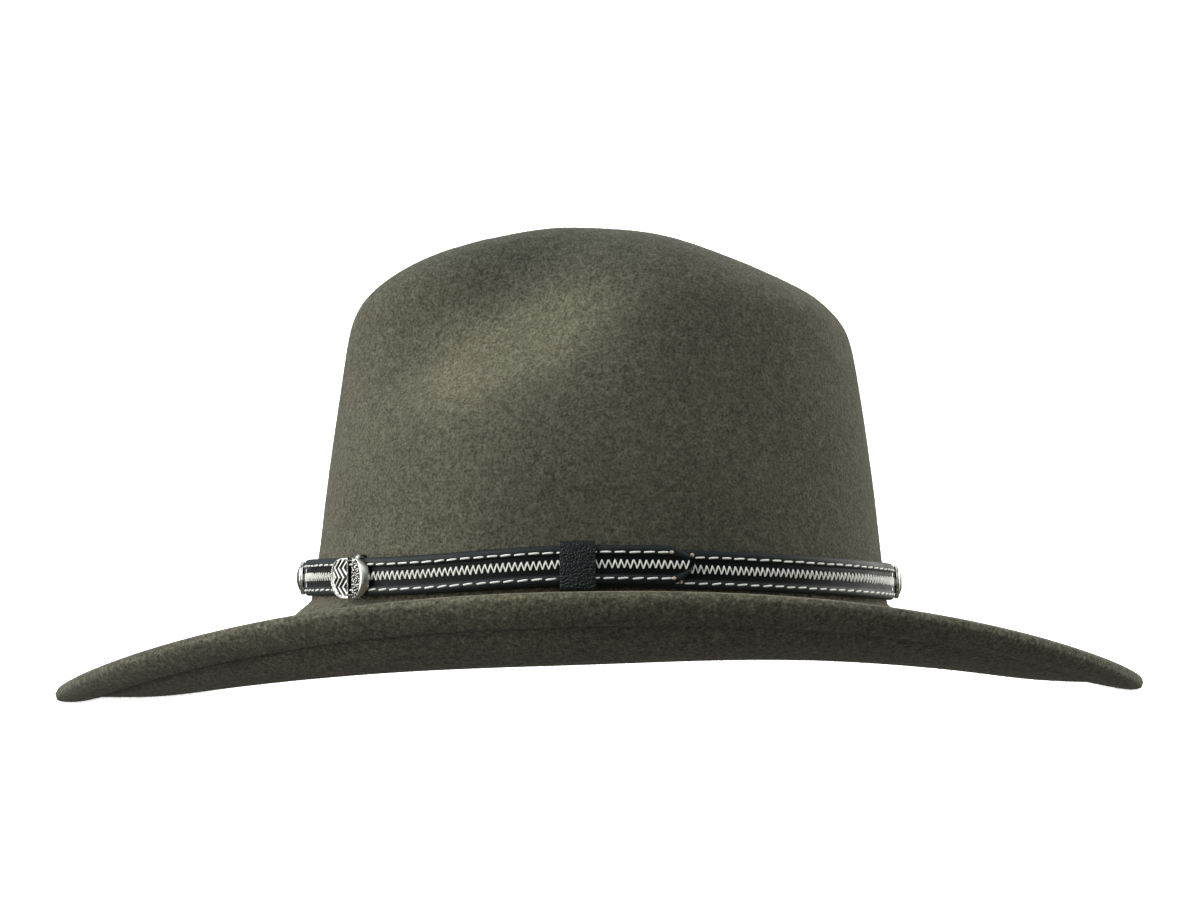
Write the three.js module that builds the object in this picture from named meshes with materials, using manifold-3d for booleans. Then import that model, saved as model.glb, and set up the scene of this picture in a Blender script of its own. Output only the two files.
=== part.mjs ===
// A felt hat with a pinched and creased crown, a rolled brim with a folded welt, and a leather strap with a
// small buckle, a keeper loop and two conchos. Millimetres, +Z up. The front of the hat is at -X and the
// wearer's left side at -Y. The origin is on the surface that the brim rests on, under the hat's middle.
import * as THREE from 'three';
import { mergeVertices } from 'three/addons/utils/BufferGeometryUtils.js';
import Module from 'manifold-3d';

const wasm = await Module();
wasm.setup();

// Felt
const FELT_WALL = 2.6;
const WELT_THICKNESS = 5.2;
const COLUMNS = 72;

// The crown wall's half sizes, from the brim break (rise 0) to the shoulder (rise 1)
const CROWN_WALL = [
  { rise: 0.00, front: 104.4, back: 104.8, side: 84.0 },
  { rise: 0.16, front: 101.8, back: 103.2, side: 82.2 },
  { rise: 0.40, front: 99.3, back: 101.2, side: 80.0 },
  { rise: 0.65, front: 96.2, back: 98.5, side: 77.4 },
  { rise: 0.83, front: 93.8, back: 96.3, side: 75.2 },
  { rise: 1.00, front: 91.6, back: 93.9, side: 72.6 },
];
const WALL_STEPS = [0.86, 0.72, 0.58, 0.44, 0.30, 0.16, 0.05, 0];
const SHOULDER_HEIGHT = 124;

// The crown's top before it is creased: its height over each place along the hat
const CROWN_TOP = [
  { along: -92, height: 164.5 },
  { along: -64, height: 165.8 },
  { along: -38, height: 168.1 },
  { along: -7, height: 171.1 },
  { along: 23, height: 169.4 },
  { along: 52, height: 161.9 },
  { along: 69, height: 156.6 },
  { along: 81, height: 153.4 },
  { along: 94, height: 148.0 },
];
const CAP_STEPS = [0.18, 0.33, 0.46, 0.58, 0.69, 0.79, 0.87, 0.93, 0.975, 1];
const CAP_SQUARENESS = 3.2;
const CAP_ROUNDNESS = 2.2;

// The teardrop crease in the crown's top: narrow at the front, wide at the back
const CREASE = [
  { along: -84, depth: 0, halfWidth: 9 },
  { along: -62, depth: 9, halfWidth: 12 },
  { along: -30, depth: 20, halfWidth: 17 },
  { along: 5, depth: 25, halfWidth: 23 },
  { along: 35, depth: 21, halfWidth: 25 },
  { along: 58, depth: 8, halfWidth: 22 },
  { along: 78, depth: 0, halfWidth: 16 },
];
const CREASE_POWER = 2.4;

// The pinch: one long slanting dent in each side of the crown's front, from its deepest place. A higher
// power makes it end more sharply: at the front and along its upper side, and softly towards the back
const PINCH = {
  depth: 18, along: -48, height: 133.5, slope: 18.5, drop: 0.4, fade: 30,
  frontLength: 40, frontPower: 3, backLength: 53, backPower: 2.4,
  upperHeight: 18.7, upperPower: 3.6, lowerHeight: 22.6, lowerPower: 2.2,
};

// The brim. Its sections run from the front of the hat round to the back, the same on both sides:
// slopes in degrees where a section leaves the crown and where it ends, and how far each slope carries
const BRIM_BREAK = { front: 35.2, side: 37.0, back: 31.6 };
const BRIM_EDGE = { halfLength: 193.0, halfWidth: 154.5, sideHeight: 36.0, endDrop: 31.55, power: 2.3 };
const BRIM_SECTIONS = [
  { around: 0, rootSlope: 42, rootReach: 0.29, edgeSlope: 2, edgeReach: 0.38 },
  { around: 30, rootSlope: 41, rootReach: 0.31, edgeSlope: 32, edgeReach: 0.33 },
  { around: 60, rootSlope: 41, rootReach: 0.36, edgeSlope: 55, edgeReach: 0.26 },
  { around: 90, rootSlope: 41, rootReach: 0.38, edgeSlope: 62, edgeReach: 0.23 },
  { around: 120, rootSlope: 39, rootReach: 0.35, edgeSlope: 50, edgeReach: 0.25 },
  { around: 150, rootSlope: 39, rootReach: 0.30, edgeSlope: 24, edgeReach: 0.31 },
  { around: 180, rootSlope: 39, rootReach: 0.29, edgeSlope: -3, edgeReach: 0.34 },
];
const BRIM_STEPS = [0.05, 0.12, 0.20, 0.30, 0.40, 0.50, 0.60, 0.70, 0.79, 0.885, 0.90, 0.95, 1];
// The welt: where along the brim its fold starts, the felt's thickness there, and how soon it reaches its own
const WELT_STEP = 0.90;
const WELT_FOOT = 3.6;
const WELT_SHARPNESS = 0.2;

// The leather strap. Angles round the crown are seen from above: 0 at the back, 180 at the front and 270
// on the wearer's left. The strap starts behind the buckle, goes once round and ends as the tongue's tip
const STRAP_HEIGHT = 13.2;
const STRAP_THICKNESS = 2.3;
const STRAP_GAP = 0.7;
const STRAP_RISE = 0.07;
const LAYER_GAP = 0.3;
// The height of the strap's lower edge at the sides, its drop at both ends, its rise at the front, and where
// along the hat, as a share of its half length, it sags
const STRAP_LEVEL = { side: 38.5, endDrop: 3.3, frontRise: 2.25, sag: 1.9, sagAt: -0.62, sagSpread: 0.35 };
const STRAP_STEP = 5.4;
// The tongue climbs onto the lower layer along its ramp, and rises above it from there to the lift's end
const TONGUE = { lift: 1.3, liftEnd: 645, tip: 647.5, rampStart: 566.5, rampEnd: 578.5 };
const TONGUE_TIP = [
  { back: 7.8, low: 0.0, high: 13.2 },
  { back: 4.8, low: 1.4, high: 11.7 },
  { back: 2.0, low: 3.9, high: 10.2 },
  { back: 0.0, low: 7.6, high: 9.2 },
];

const BUCKLE = { at: 218.2, halfLength: 10.1, halfHeight: 7.1 };
const HEEL_BAR = { from: 5.6, to: 7.6, wall: 1.0 };
const KEEPER = { at: 266.5, length: 11.6, wall: 0.9, standOff: 1.5, spread: 16 };
const CONCHO = { radius: 6.15, thickness: 1.3, stoneRadius: 5.0, stoneHeight: 1.5, sides: 14 };
const FIT_GAP = 0.3;

const MATERIALS = {
  felt: new THREE.MeshStandardMaterial({ color: 0x504f44, roughness: 0.95, metalness: 0 }),
  leather: new THREE.MeshStandardMaterial({ color: 0x1c2123, roughness: 0.5, metalness: 0 }),
  silver: new THREE.MeshStandardMaterial({ color: 0xb9b6ac, roughness: 0.3, metalness: 1 }),
  stone: new THREE.MeshStandardMaterial({ color: 0x0d0e10, roughness: 0.15, metalness: 0 }),
};

const radians = (degrees) => THREE.MathUtils.degToRad(degrees);
const mix = THREE.MathUtils.lerp;

// A column of a table between its rows, along a curve that is level at the first and last rows
function read(table, key, column, at) {
  const last = table.length - 1;
  if (at <= table[0][key]) return table[0][column];
  if (at >= table[last][key]) return table[last][column];
  const i = table.findIndex((row) => row[key] > at) - 1;
  const slope = (j) => {
    if (j === 0 || j === last) return 0;
    return (table[j + 1][column] - table[j - 1][column]) / (table[j + 1][key] - table[j - 1][key]);
  };
  const span = table[i + 1][key] - table[i][key];
  const t = (at - table[i][key]) / span;
  const ease = t * t * (3 - 2 * t);
  const bend = t * (1 - t) * span * ((1 - t) * slope(i) - t * slope(i + 1));
  return mix(table[i][column], table[i + 1][column], ease) + bend;
}

// A closed mesh with its faces turned out, whichever way its rings were listed
function facingOut(geometry) {
  const { position } = geometry.attributes;
  const corner = (index) => new THREE.Vector3().fromBufferAttribute(position, index);
  const triangles = Array.from(geometry.index.array);
  let volume = 0;
  for (let i = 0; i < triangles.length; i += 3) {
    const [a, b, c] = triangles.slice(i, i + 3).map(corner);
    volume += a.dot(b.cross(c)) / 6;
  }
  if (volume < 0) geometry.setIndex(triangles.reverse());
  return geometry;
}

// A closed mesh from rings of the same number of points; a ring of one point is a pole
function ringSurface(rings, endless = false) {
  const count = Math.max(...rings.map((ring) => ring.length));
  const positions = [];
  const starts = rings.map((ring) => {
    const start = positions.length / 3;
    ring.forEach((point) => positions.push(point.x, point.y, point.z));
    return start;
  });
  const at = (r, j) => starts[r] + (rings[r].length === 1 ? 0 : j % count);
  const triangles = [];
  const bands = endless ? rings.length : rings.length - 1;
  for (let r = 0; r < bands; r += 1) {
    const next = (r + 1) % rings.length;
    for (let j = 0; j < count; j += 1) {
      if (rings[next].length > 1) triangles.push(at(r, j), at(next, j), at(next, j + 1));
      if (rings[r].length > 1) triangles.push(at(r, j), at(next, j + 1), at(r, j + 1));
    }
  }
  const geometry = new THREE.BufferGeometry();
  geometry.setAttribute('position', new THREE.Float32BufferAttribute(positions, 3));
  geometry.setIndex(triangles);
  return facingOut(geometry);
}

const middleOf = (points) => points
  .reduce((sum, point) => sum.add(point), new THREE.Vector3())
  .divideScalar(points.length);

function toSolid(geometry) {
  const bare = geometry.clone();
  bare.deleteAttribute('normal');
  bare.deleteAttribute('uv');
  const merged = mergeVertices(bare, 1e-3);
  return new wasm.Manifold(new wasm.Mesh({
    numProp: 3,
    vertProperties: new Float32Array(merged.attributes.position.array),
    triVerts: new Uint32Array(merged.index.array),
  }));
}

function toGeometry(solid) {
  const mesh = solid.getMesh();
  const geometry = new THREE.BufferGeometry();
  geometry.setAttribute('position', new THREE.BufferAttribute(new Float32Array(mesh.vertProperties), 3));
  geometry.setIndex(new THREE.BufferAttribute(new Uint32Array(mesh.triVerts), 1));
  return geometry;
}

function piece(name, geometry, material) {
  const mesh = new THREE.Mesh(geometry, material);
  mesh.name = name;
  return mesh;
}

// Crown

function oval(sizes, angle) {
  const along = Math.cos(angle);
  const middle = (sizes.front + sizes.back) / 2;
  const shift = (sizes.back - sizes.front) / 2;
  return new THREE.Vector2((middle + shift * along) * along, sizes.side * Math.sin(angle));
}

function breakHeight(angle) {
  const along = Math.cos(angle);
  return mix(BRIM_BREAK.side, along < 0 ? BRIM_BREAK.front : BRIM_BREAK.back, along * along);
}

function wallSizes(rise) {
  return {
    front: read(CROWN_WALL, 'rise', 'front', rise),
    back: read(CROWN_WALL, 'rise', 'back', rise),
    side: read(CROWN_WALL, 'rise', 'side', rise),
  };
}

function wallPoint(angle, rise) {
  const plan = oval(wallSizes(rise), angle);
  return new THREE.Vector3(plan.x, plan.y, mix(breakHeight(angle), SHOULDER_HEIGHT, rise));
}

function capPoint(angle, ring) {
  const plan = oval(wallSizes(1), angle).multiplyScalar(ring);
  const fullness = (1 - ring ** CAP_SQUARENESS) ** (1 / CAP_ROUNDNESS);
  const top = read(CROWN_TOP, 'along', 'height', plan.x);
  return new THREE.Vector3(plan.x, plan.y, mix(SHOULDER_HEIGHT, top, fullness));
}

function creased(point) {
  const depth = read(CREASE, 'along', 'depth', point.x);
  const halfWidth = read(CREASE, 'along', 'halfWidth', point.x);
  const share = Math.exp(-((Math.abs(point.y) / halfWidth) ** CREASE_POWER));
  return point.clone().setZ(point.z - depth * share);
}

function pinched(point) {
  const slope = radians(PINCH.slope);
  const along = point.x - PINCH.along;
  const up = point.z - PINCH.height;
  const length = along * Math.cos(slope) + up * Math.sin(slope);
  const height = up * Math.cos(slope) - along * Math.sin(slope);
  const ending = length < 0
    ? Math.abs(length / PINCH.frontLength) ** PINCH.frontPower
    : (length / PINCH.backLength) ** PINCH.backPower;
  const side = height < 0
    ? Math.abs(height / PINCH.lowerHeight) ** PINCH.lowerPower
    : (height / PINCH.upperHeight) ** PINCH.upperPower;
  const fade = THREE.MathUtils.smoothstep(Math.abs(point.y), 0, PINCH.fade);
  const push = PINCH.depth * fade * Math.exp(-ending - side);
  return new THREE.Vector3(point.x, point.y - Math.sign(point.y) * push, point.z - PINCH.drop * push);
}

// Brim

function brimSection(angle) {
  const degrees = THREE.MathUtils.euclideanModulo(THREE.MathUtils.radToDeg(angle), 360);
  const around = Math.abs(180 - degrees);
  const value = (column) => read(BRIM_SECTIONS, 'around', column, around);
  const root = wallPoint(angle, 0);
  const drop = BRIM_EDGE.endDrop * Math.abs(Math.cos(angle)) ** BRIM_EDGE.power;
  const edge = new THREE.Vector3(
    BRIM_EDGE.halfLength * Math.cos(angle),
    BRIM_EDGE.halfWidth * Math.sin(angle),
    BRIM_EDGE.sideHeight - drop,
  );
  const span = edge.clone().sub(root).setZ(0);
  const reach = span.length();
  const rootStep = value('rootReach');
  const edgeStep = value('edgeReach');
  const rootDrop = rootStep * reach * Math.tan(radians(value('rootSlope')));
  const edgeRise = edgeStep * reach * Math.tan(radians(value('edgeSlope')));
  const second = root.clone().addScaledVector(span, rootStep).setZ(root.z - rootDrop);
  const third = edge.clone().addScaledVector(span, -edgeStep).setZ(edge.z - edgeRise);
  return new THREE.CubicBezierCurve3(root, second, third, edge);
}

// The felt's upper face as rows of points, from the middle of the crown out to the brim's edge
function feltRows() {
  const angles = Array.from({ length: COLUMNS }, (_, j) => (2 * Math.PI * j) / COLUMNS);
  const crown = [
    ...CAP_STEPS.map((ring) => angles.map((angle) => capPoint(angle, ring))),
    ...WALL_STEPS.map((rise) => angles.map((angle) => wallPoint(angle, rise))),
  ];
  const sections = angles.map(brimSection);
  const brim = BRIM_STEPS.map((step) => sections.map((section) => section.getPoint(step)));
  return [...crown.map((row) => row.map((point) => pinched(creased(point)))), ...brim];
}

// The direction straight out of the upper face, and along it towards the brim's edge
function faceDirections(rows, r, j) {
  const across = rows[r][(j + 1) % COLUMNS].clone().sub(rows[r][(j + COLUMNS - 1) % COLUMNS]);
  const above = rows[Math.max(r - 1, 0)][j];
  const below = rows[Math.min(r + 1, rows.length - 1)][j];
  const down = below.clone().sub(above);
  const out = down.clone().cross(across).normalize();
  return { out, down: across.cross(out).normalize() };
}

function feltBody() {
  const rows = feltRows();
  const last = rows.length - 1;
  const firstBrimRow = rows.length - BRIM_STEPS.length;
  const directions = rows.map((row, r) => row.map((_, j) => faceDirections(rows, r, j)));
  const lowered = (r, depth) => rows[r].map((point, j) => {
    const under = point.clone().addScaledVector(directions[r][j].out, -depth);
    return under.setZ(Math.max(under.z, 0));
  });
  const radius = WELT_THICKNESS / 2;
  const edgeRoll = [45, 90, 135].map((turn) => rows[last].map((point, j) => {
    const { out, down } = directions[last][j];
    const rolled = point.clone()
      .addScaledVector(out, radius * (Math.cos(radians(turn)) - 1))
      .addScaledVector(down, radius * Math.sin(radians(turn)));
    return rolled.setZ(Math.max(rolled.z, 0));
  }));
  const under = [];
  for (let r = last; r >= 0; r -= 1) {
    const step = BRIM_STEPS[r - firstBrimRow] ?? 0;
    const fullness = ((step - WELT_STEP) / (1 - WELT_STEP)) ** WELT_SHARPNESS;
    if (step >= WELT_STEP) under.push(lowered(r, mix(WELT_FOOT, WELT_THICKNESS, fullness)));
    if (step <= WELT_STEP) under.push(lowered(r, FELT_WALL));
  }
  const topPole = creased(capPoint(0, 0));
  const underPole = topPole.clone().setZ(topPole.z - FELT_WALL);
  return ringSurface([[topPole], ...rows, ...edgeRoll, ...under, [underPole]]);
}

// Strap. A place on it is an angle round the crown, a height v above its lower edge and a distance n out
// of its inner face

function strapPoint(degrees, v, n) {
  const angle = radians(degrees);
  const sizes = wallSizes(STRAP_RISE);
  const plan = oval(sizes, angle);
  const halfLength = (sizes.front + sizes.back) / 2;
  const out = new THREE.Vector2(Math.cos(angle) / halfLength, Math.sin(angle) / sizes.side).normalize();
  const fromKeeper = (THREE.MathUtils.euclideanModulo(degrees, 360) - KEEPER.at) / KEEPER.spread;
  const standOff = STRAP_GAP + KEEPER.standOff * Math.exp(-fromKeeper * fromKeeper);
  const along = Math.cos(angle);
  const fromSag = (along - STRAP_LEVEL.sagAt) / STRAP_LEVEL.sagSpread;
  const level = STRAP_LEVEL.side - STRAP_LEVEL.endDrop * along * along - STRAP_LEVEL.frontRise * along
    - STRAP_LEVEL.sag * Math.exp(-fromSag * fromSag);
  plan.addScaledVector(out, standOff + n);
  return new THREE.Vector3(plan.x, plan.y, level + v);
}

// The tongue's share of its climb onto the layer below, and of its lift above that layer's edge
const lifted = (degrees) => THREE.MathUtils.smoothstep(degrees, TONGUE.rampStart, TONGUE.rampEnd);
const raised = (degrees) => THREE.MathUtils.smoothstep(degrees, TONGUE.rampEnd, TONGUE.liftEnd);

// The angle at a length u along the strap from another angle
function travel(degrees, u) {
  const step = 0.5;
  const here = strapPoint(degrees, 0, 0).setZ(0);
  const pace = strapPoint(degrees + step, 0, 0).setZ(0).distanceTo(here) / step;
  const guess = degrees + u / pace;
  const middlePace = strapPoint((degrees + guess) / 2 + step, 0, 0).setZ(0)
    .distanceTo(strapPoint((degrees + guess) / 2, 0, 0).setZ(0)) / step;
  return degrees + u / middlePace;
}

function strapSection(degrees, low, high) {
  const raise = raised(degrees) * TONGUE.lift;
  const out = lifted(degrees) * (STRAP_THICKNESS + LAYER_GAP);
  const size = (high - low) / STRAP_HEIGHT;
  const outline = [
    { in: 0.5, n: 0 }, { in: 0, n: 0.6 }, { in: 0.25, n: 1.5 }, { in: 1.4, n: STRAP_THICKNESS },
  ];
  const lower = outline.map((row) => ({ v: low + row.in * size, n: row.n }));
  const upper = outline.map((row) => ({ v: high - row.in * size, n: row.n })).reverse();
  return [...lower, ...upper].map((row) => strapPoint(degrees, row.v + raise, row.n + out));
}

function bandStrap() {
  const start = travel(BUCKLE.at, HEEL_BAR.to + FIT_GAP);
  const shoulder = travel(TONGUE.tip, -TONGUE_TIP[0].back);
  const steps = Math.round((shoulder - start) / STRAP_STEP);
  const sections = [];
  for (let i = 0; i < steps; i += 1) {
    sections.push(strapSection(mix(start, shoulder, i / steps), 0, STRAP_HEIGHT));
  }
  TONGUE_TIP.forEach((row) => {
    sections.push(strapSection(travel(TONGUE.tip, -row.back), row.low, row.high));
  });
  const first = middleOf(sections[0]);
  const final = middleOf(sections[sections.length - 1]);
  return ringSurface([[first], ...sections, [final]]);
}

// A flat loop round the strap, between two lengths along it, with a hole from its lowest to its highest
// place and from its inner to its outer place
function strapLoop(at, from, to, hole, wall, stations) {
  const corner = 0.7;
  const outline = (grow) => {
    const [low, high, inner, outer] = [hole.low - grow, hole.high + grow, hole.inner - grow, hole.outer + grow];
    const cut = grow > 0 ? corner : corner / 2;
    return [
      [low + cut, inner], [low, inner + cut], [low, outer - cut], [low + cut, outer],
      [high - cut, outer], [high, outer - cut], [high, inner + cut], [high - cut, inner],
    ];
  };
  const inside = outline(0);
  const outside = outline(wall);
  const lengths = Array.from({ length: stations }, (_, i) => mix(from, to, i / (stations - 1)));
  const place = (u, corners) => strapPoint(travel(at, u), corners[0], corners[1]);
  const rings = inside.map((_, k) => [
    ...lengths.map((u) => place(u, outside[k])),
    ...lengths.toReversed().map((u) => place(u, inside[k])),
  ]);
  return ringSurface(rings, true);
}

function strapKeeper() {
  const layers = 2 * STRAP_THICKNESS + LAYER_GAP;
  const hole = { low: -FIT_GAP, high: STRAP_HEIGHT + TONGUE.lift + FIT_GAP, inner: -FIT_GAP, outer: layers + FIT_GAP };
  return strapLoop(KEEPER.at, -KEEPER.length / 2, KEEPER.length / 2, hole, KEEPER.wall, 4);
}

// Buckle: an oval frame in front of the tongue, and a bar behind it
const FRAME_BARS = [
  { turn: 0, width: 7.5, height: 2.6 },
  { turn: 50, width: 6.4, height: 2.3 },
  { turn: 90, width: 1.5, height: 1.5 },
  { turn: 130, width: 7.2, height: 2.0 },
  { turn: 180, width: 8.4, height: 2.3 },
];
const FRAME_SIDES = 20;

function buckleFrame() {
  const middle = STRAP_HEIGHT / 2;
  const rings = [];
  for (let i = 0; i < FRAME_SIDES; i += 1) {
    const turn = (360 * i) / FRAME_SIDES;
    const from = Math.min(turn, 360 - turn);
    const width = read(FRAME_BARS, 'turn', 'width', from);
    const height = read(FRAME_BARS, 'turn', 'height', from);
    const across = (Math.abs(Math.cos(radians(turn))) ** 0.8) * Math.sign(Math.cos(radians(turn)));
    const up = (Math.abs(Math.sin(radians(turn))) ** 0.8) * Math.sign(Math.sin(radians(turn)));
    const outline = [[0, 0], [0, 0.5], [0.35, 1], [0.7, 0.9], [1, 0.45], [1, 0]];
    rings.push(outline.map(([inwards, rise]) => {
      const u = (BUCKLE.halfLength - inwards * width) * across;
      const v = middle + (BUCKLE.halfHeight - inwards * Math.min(width, 1.5)) * up;
      const angle = travel(BUCKLE.at + 360, u);
      const base = STRAP_THICKNESS + FIT_GAP + (STRAP_THICKNESS + LAYER_GAP) * lifted(angle);
      return strapPoint(angle, v, base + rise * height);
    }));
  }
  return ringSurface(rings, true);
}

function buckle() {
  const hole = {
    low: -FIT_GAP,
    high: STRAP_HEIGHT + FIT_GAP,
    inner: STRAP_THICKNESS,
    outer: 2 * STRAP_THICKNESS + LAYER_GAP + FIT_GAP,
  };
  const bar = strapLoop(BUCKLE.at, HEEL_BAR.from, HEEL_BAR.to, hole, HEEL_BAR.wall, 2);
  return toGeometry(toSolid(buckleFrame()).add(toSolid(bar)));
}

// Conchos: a round silver setting with a raised rim, and a dark cut dome in it
function concho(name, degrees) {
  const outFace = STRAP_THICKNESS + FIT_GAP;
  const middle = strapPoint(degrees, STRAP_HEIGHT / 2, outFace);
  const { radius, thickness, stoneRadius, stoneHeight, sides } = CONCHO;
  const seat = stoneRadius + FIT_GAP;
  const setting = [
    [0, 0], [radius - 0.4, 0], [radius, 0.4], [radius, thickness - 0.3], [radius - 0.35, thickness],
    [seat, thickness - 0.1], [seat, 0.6], [0, 0.6],
  ];
  const stoneBase = 0.6 + FIT_GAP;
  const stone = [
    [0, stoneBase], [stoneRadius, stoneBase], [stoneRadius, thickness],
    [stoneRadius * 0.82, thickness + stoneHeight * 0.5], [stoneRadius * 0.45, thickness + stoneHeight * 0.92],
    [0, thickness + stoneHeight],
  ];
  const group = new THREE.Group();
  const turned = (profile) => new THREE.LatheGeometry(profile.map(([r, h]) => new THREE.Vector2(r, h)), sides);
  group.add(piece(`${name}_setting`, turned(setting), MATERIALS.silver));
  group.add(piece(`${name}_stone`, turned(stone), MATERIALS.stone));
  group.position.copy(middle);
  group.rotation.z = degrees === 0 ? -Math.PI / 2 : Math.PI / 2;
  return group;
}

const hat = new THREE.Group();
hat.add(piece('felt_body', feltBody(), MATERIALS.felt));
hat.add(piece('band_strap', bandStrap(), MATERIALS.leather));
hat.add(piece('strap_keeper', strapKeeper(), MATERIALS.leather));
hat.add(piece('buckle', buckle(), MATERIALS.silver));
hat.add(concho('front_concho', 180));
hat.add(concho('back_concho', 0));

export default hat;
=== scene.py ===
import math

import bmesh
import bpy
import numpy as np
from mathutils import Matrix, Vector


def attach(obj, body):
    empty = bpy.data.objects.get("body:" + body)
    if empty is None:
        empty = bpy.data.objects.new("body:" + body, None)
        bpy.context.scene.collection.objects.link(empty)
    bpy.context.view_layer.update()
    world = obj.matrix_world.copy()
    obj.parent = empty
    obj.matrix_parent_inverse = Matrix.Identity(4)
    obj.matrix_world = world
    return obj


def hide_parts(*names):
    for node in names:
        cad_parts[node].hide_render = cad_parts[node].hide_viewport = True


bl_info = {
    "name": "Felt hat",
    "version": (1, 0, 0),
    "blender": (4, 5, 0),
    "location": "3D View > Sidebar > Felt hat",
    "description": "Models the looks of a felt hat round its CAD frame",
    "category": "Object",
}

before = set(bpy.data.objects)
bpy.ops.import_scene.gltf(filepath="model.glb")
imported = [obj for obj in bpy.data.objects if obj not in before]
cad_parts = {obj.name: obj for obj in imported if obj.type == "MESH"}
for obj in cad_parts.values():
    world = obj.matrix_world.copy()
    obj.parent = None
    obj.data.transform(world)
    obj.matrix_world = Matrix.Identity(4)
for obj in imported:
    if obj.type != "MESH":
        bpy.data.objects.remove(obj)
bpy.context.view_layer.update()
MM = 0.001

# The strap's own space
# A place on the strap is its travel along the strap, how far it is out of the inner face, and how far up
# it is from the lower edge. Angles run from above: 0 at the back, 180 at the front, 270 on the wearer's left.
# The crown's half sizes where the strap lies, and the strap's place on it, are those of the CAD part.
CROWN_AT_STRAP = {"front": 103.562, "back": 104.304, "side": 83.440}
STRAP_GAP = 0.7
KEEPER_BULGE = {"at": 266.5, "out": 1.5, "spread": 16.0}
STRAP_LEVEL = {
    "side": 38.5, "end_drop": 3.3, "front_rise": 2.25, "sag": 1.9, "sag_at": -0.62, "sag_spread": 0.35,
}
STRAP_HEIGHT = 13.2
STRAP_THICKNESS = 2.3
LAYER_GAP = 0.3
TONGUE = {"lift": 1.3, "lift_end": 645.0, "ramp_start": 566.5, "ramp_end": 578.5, "tip": 647.5}
BUCKLE_AT = 577.5
KEEPER_AT = 626.5
STRAP_START = 223.4
FRONT, BACK = 540.0, 360.0


def crown_points(degrees, up, out):
    """Points in millimetres, from angles round the crown, heights on the strap and distances out of it."""
    angle = np.radians(degrees)
    along, across = np.cos(angle), np.sin(angle)
    middle = (CROWN_AT_STRAP["front"] + CROWN_AT_STRAP["back"]) / 2
    shift = (CROWN_AT_STRAP["back"] - CROWN_AT_STRAP["front"]) / 2
    x, y = (middle + shift * along) * along, CROWN_AT_STRAP["side"] * across
    out_x, out_y = along / middle, across / CROWN_AT_STRAP["side"]
    length = np.hypot(out_x, out_y)
    from_keeper = (np.mod(degrees, 360.0) - KEEPER_BULGE["at"]) / KEEPER_BULGE["spread"]
    stand = STRAP_GAP + KEEPER_BULGE["out"] * np.exp(-from_keeper ** 2) + out
    sag = np.exp(-((along - STRAP_LEVEL["sag_at"]) / STRAP_LEVEL["sag_spread"]) ** 2)
    level = STRAP_LEVEL["side"] - STRAP_LEVEL["end_drop"] * along ** 2 - STRAP_LEVEL["front_rise"] * along
    level = level - STRAP_LEVEL["sag"] * sag
    return np.stack([x + out_x / length * stand, y + out_y / length * stand, level + up], axis=-1)


DEGREES = np.linspace(200.0, 660.0, 9201)
INNER_LINE = crown_points(DEGREES, 0.0, 0.0)[:, :2]
TRAVEL = np.concatenate([[0.0], np.cumsum(np.hypot(*np.diff(INNER_LINE, axis=0).T))])


def travel_at(degrees):
    """The travel in millimetres at an unwrapped angle."""
    return float(np.interp(degrees, DEGREES, TRAVEL))


def eased(degrees, start, end):
    share = np.clip((degrees - start) / (end - start), 0.0, 1.0)
    return share * share * (3.0 - 2.0 * share)


def lay_round_crown(piece, lifted=True):
    """Lays a piece that was modelled straight, with X its travel, -Y outwards and Z up, round the crown.
    A lifted one climbs onto the lower layer where the tongue does."""
    flat = coords(piece) / MM
    degrees = np.interp(flat[:, 0], TRAVEL, DEGREES)
    up, out = flat[:, 2], -flat[:, 1]
    if lifted:
        up = up + eased(degrees, TONGUE["ramp_end"], TONGUE["lift_end"]) * TONGUE["lift"]
        out = out + eased(degrees, TONGUE["ramp_start"], TONGUE["ramp_end"]) * (STRAP_THICKNESS + LAYER_GAP)
    set_coords(piece, crown_points(degrees, up, out) * MM)


# Modelling helpers
def only(piece):
    """Selects one object alone."""
    if bpy.context.mode != "OBJECT":
        bpy.ops.object.mode_set(mode="OBJECT")
    bpy.ops.object.select_all(action="DESELECT")
    piece.select_set(True)
    bpy.context.view_layer.objects.active = piece
    return piece


def nothing_selected():
    if bpy.context.mode != "OBJECT":
        bpy.ops.object.mode_set(mode="OBJECT")
    bpy.ops.object.select_all(action="DESELECT")


def added(name):
    """The object that the last operator added, under its own name."""
    piece = bpy.context.object
    piece.name = name
    piece.data.name = name
    return piece


def join(pieces, name):
    only(pieces[0])
    for piece in pieces:
        piece.select_set(True)
    bpy.ops.object.join()
    return added(name)


def coords(piece):
    flat = np.empty(len(piece.data.vertices) * 3)
    piece.data.vertices.foreach_get("co", flat)
    return flat.reshape(-1, 3)


def set_coords(piece, places):
    piece.data.vertices.foreach_set("co", np.asarray(places, float).ravel())
    piece.data.update()


def apply_modifier(piece, kind, **settings):
    """Adds a modifier, sets it and applies it."""
    only(piece)
    modifier = piece.modifiers.new(kind.lower(), kind)
    for key, value in settings.items():
        setattr(modifier, key, value)
    bpy.ops.object.modifier_apply(modifier=modifier.name)
    return piece


def subdivided(piece, levels):
    return apply_modifier(piece, "SUBSURF", levels=levels, render_levels=levels)


def facing_out(piece):
    only(piece)
    bpy.ops.object.mode_set(mode="EDIT")
    bpy.ops.mesh.select_all(action="SELECT")
    bpy.ops.mesh.normals_make_consistent(inside=False)
    bpy.ops.object.mode_set(mode="OBJECT")
    return piece


def smooth(piece, degrees):
    only(piece)
    bpy.ops.object.shade_smooth_by_angle(angle=math.radians(degrees))
    return piece


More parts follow.
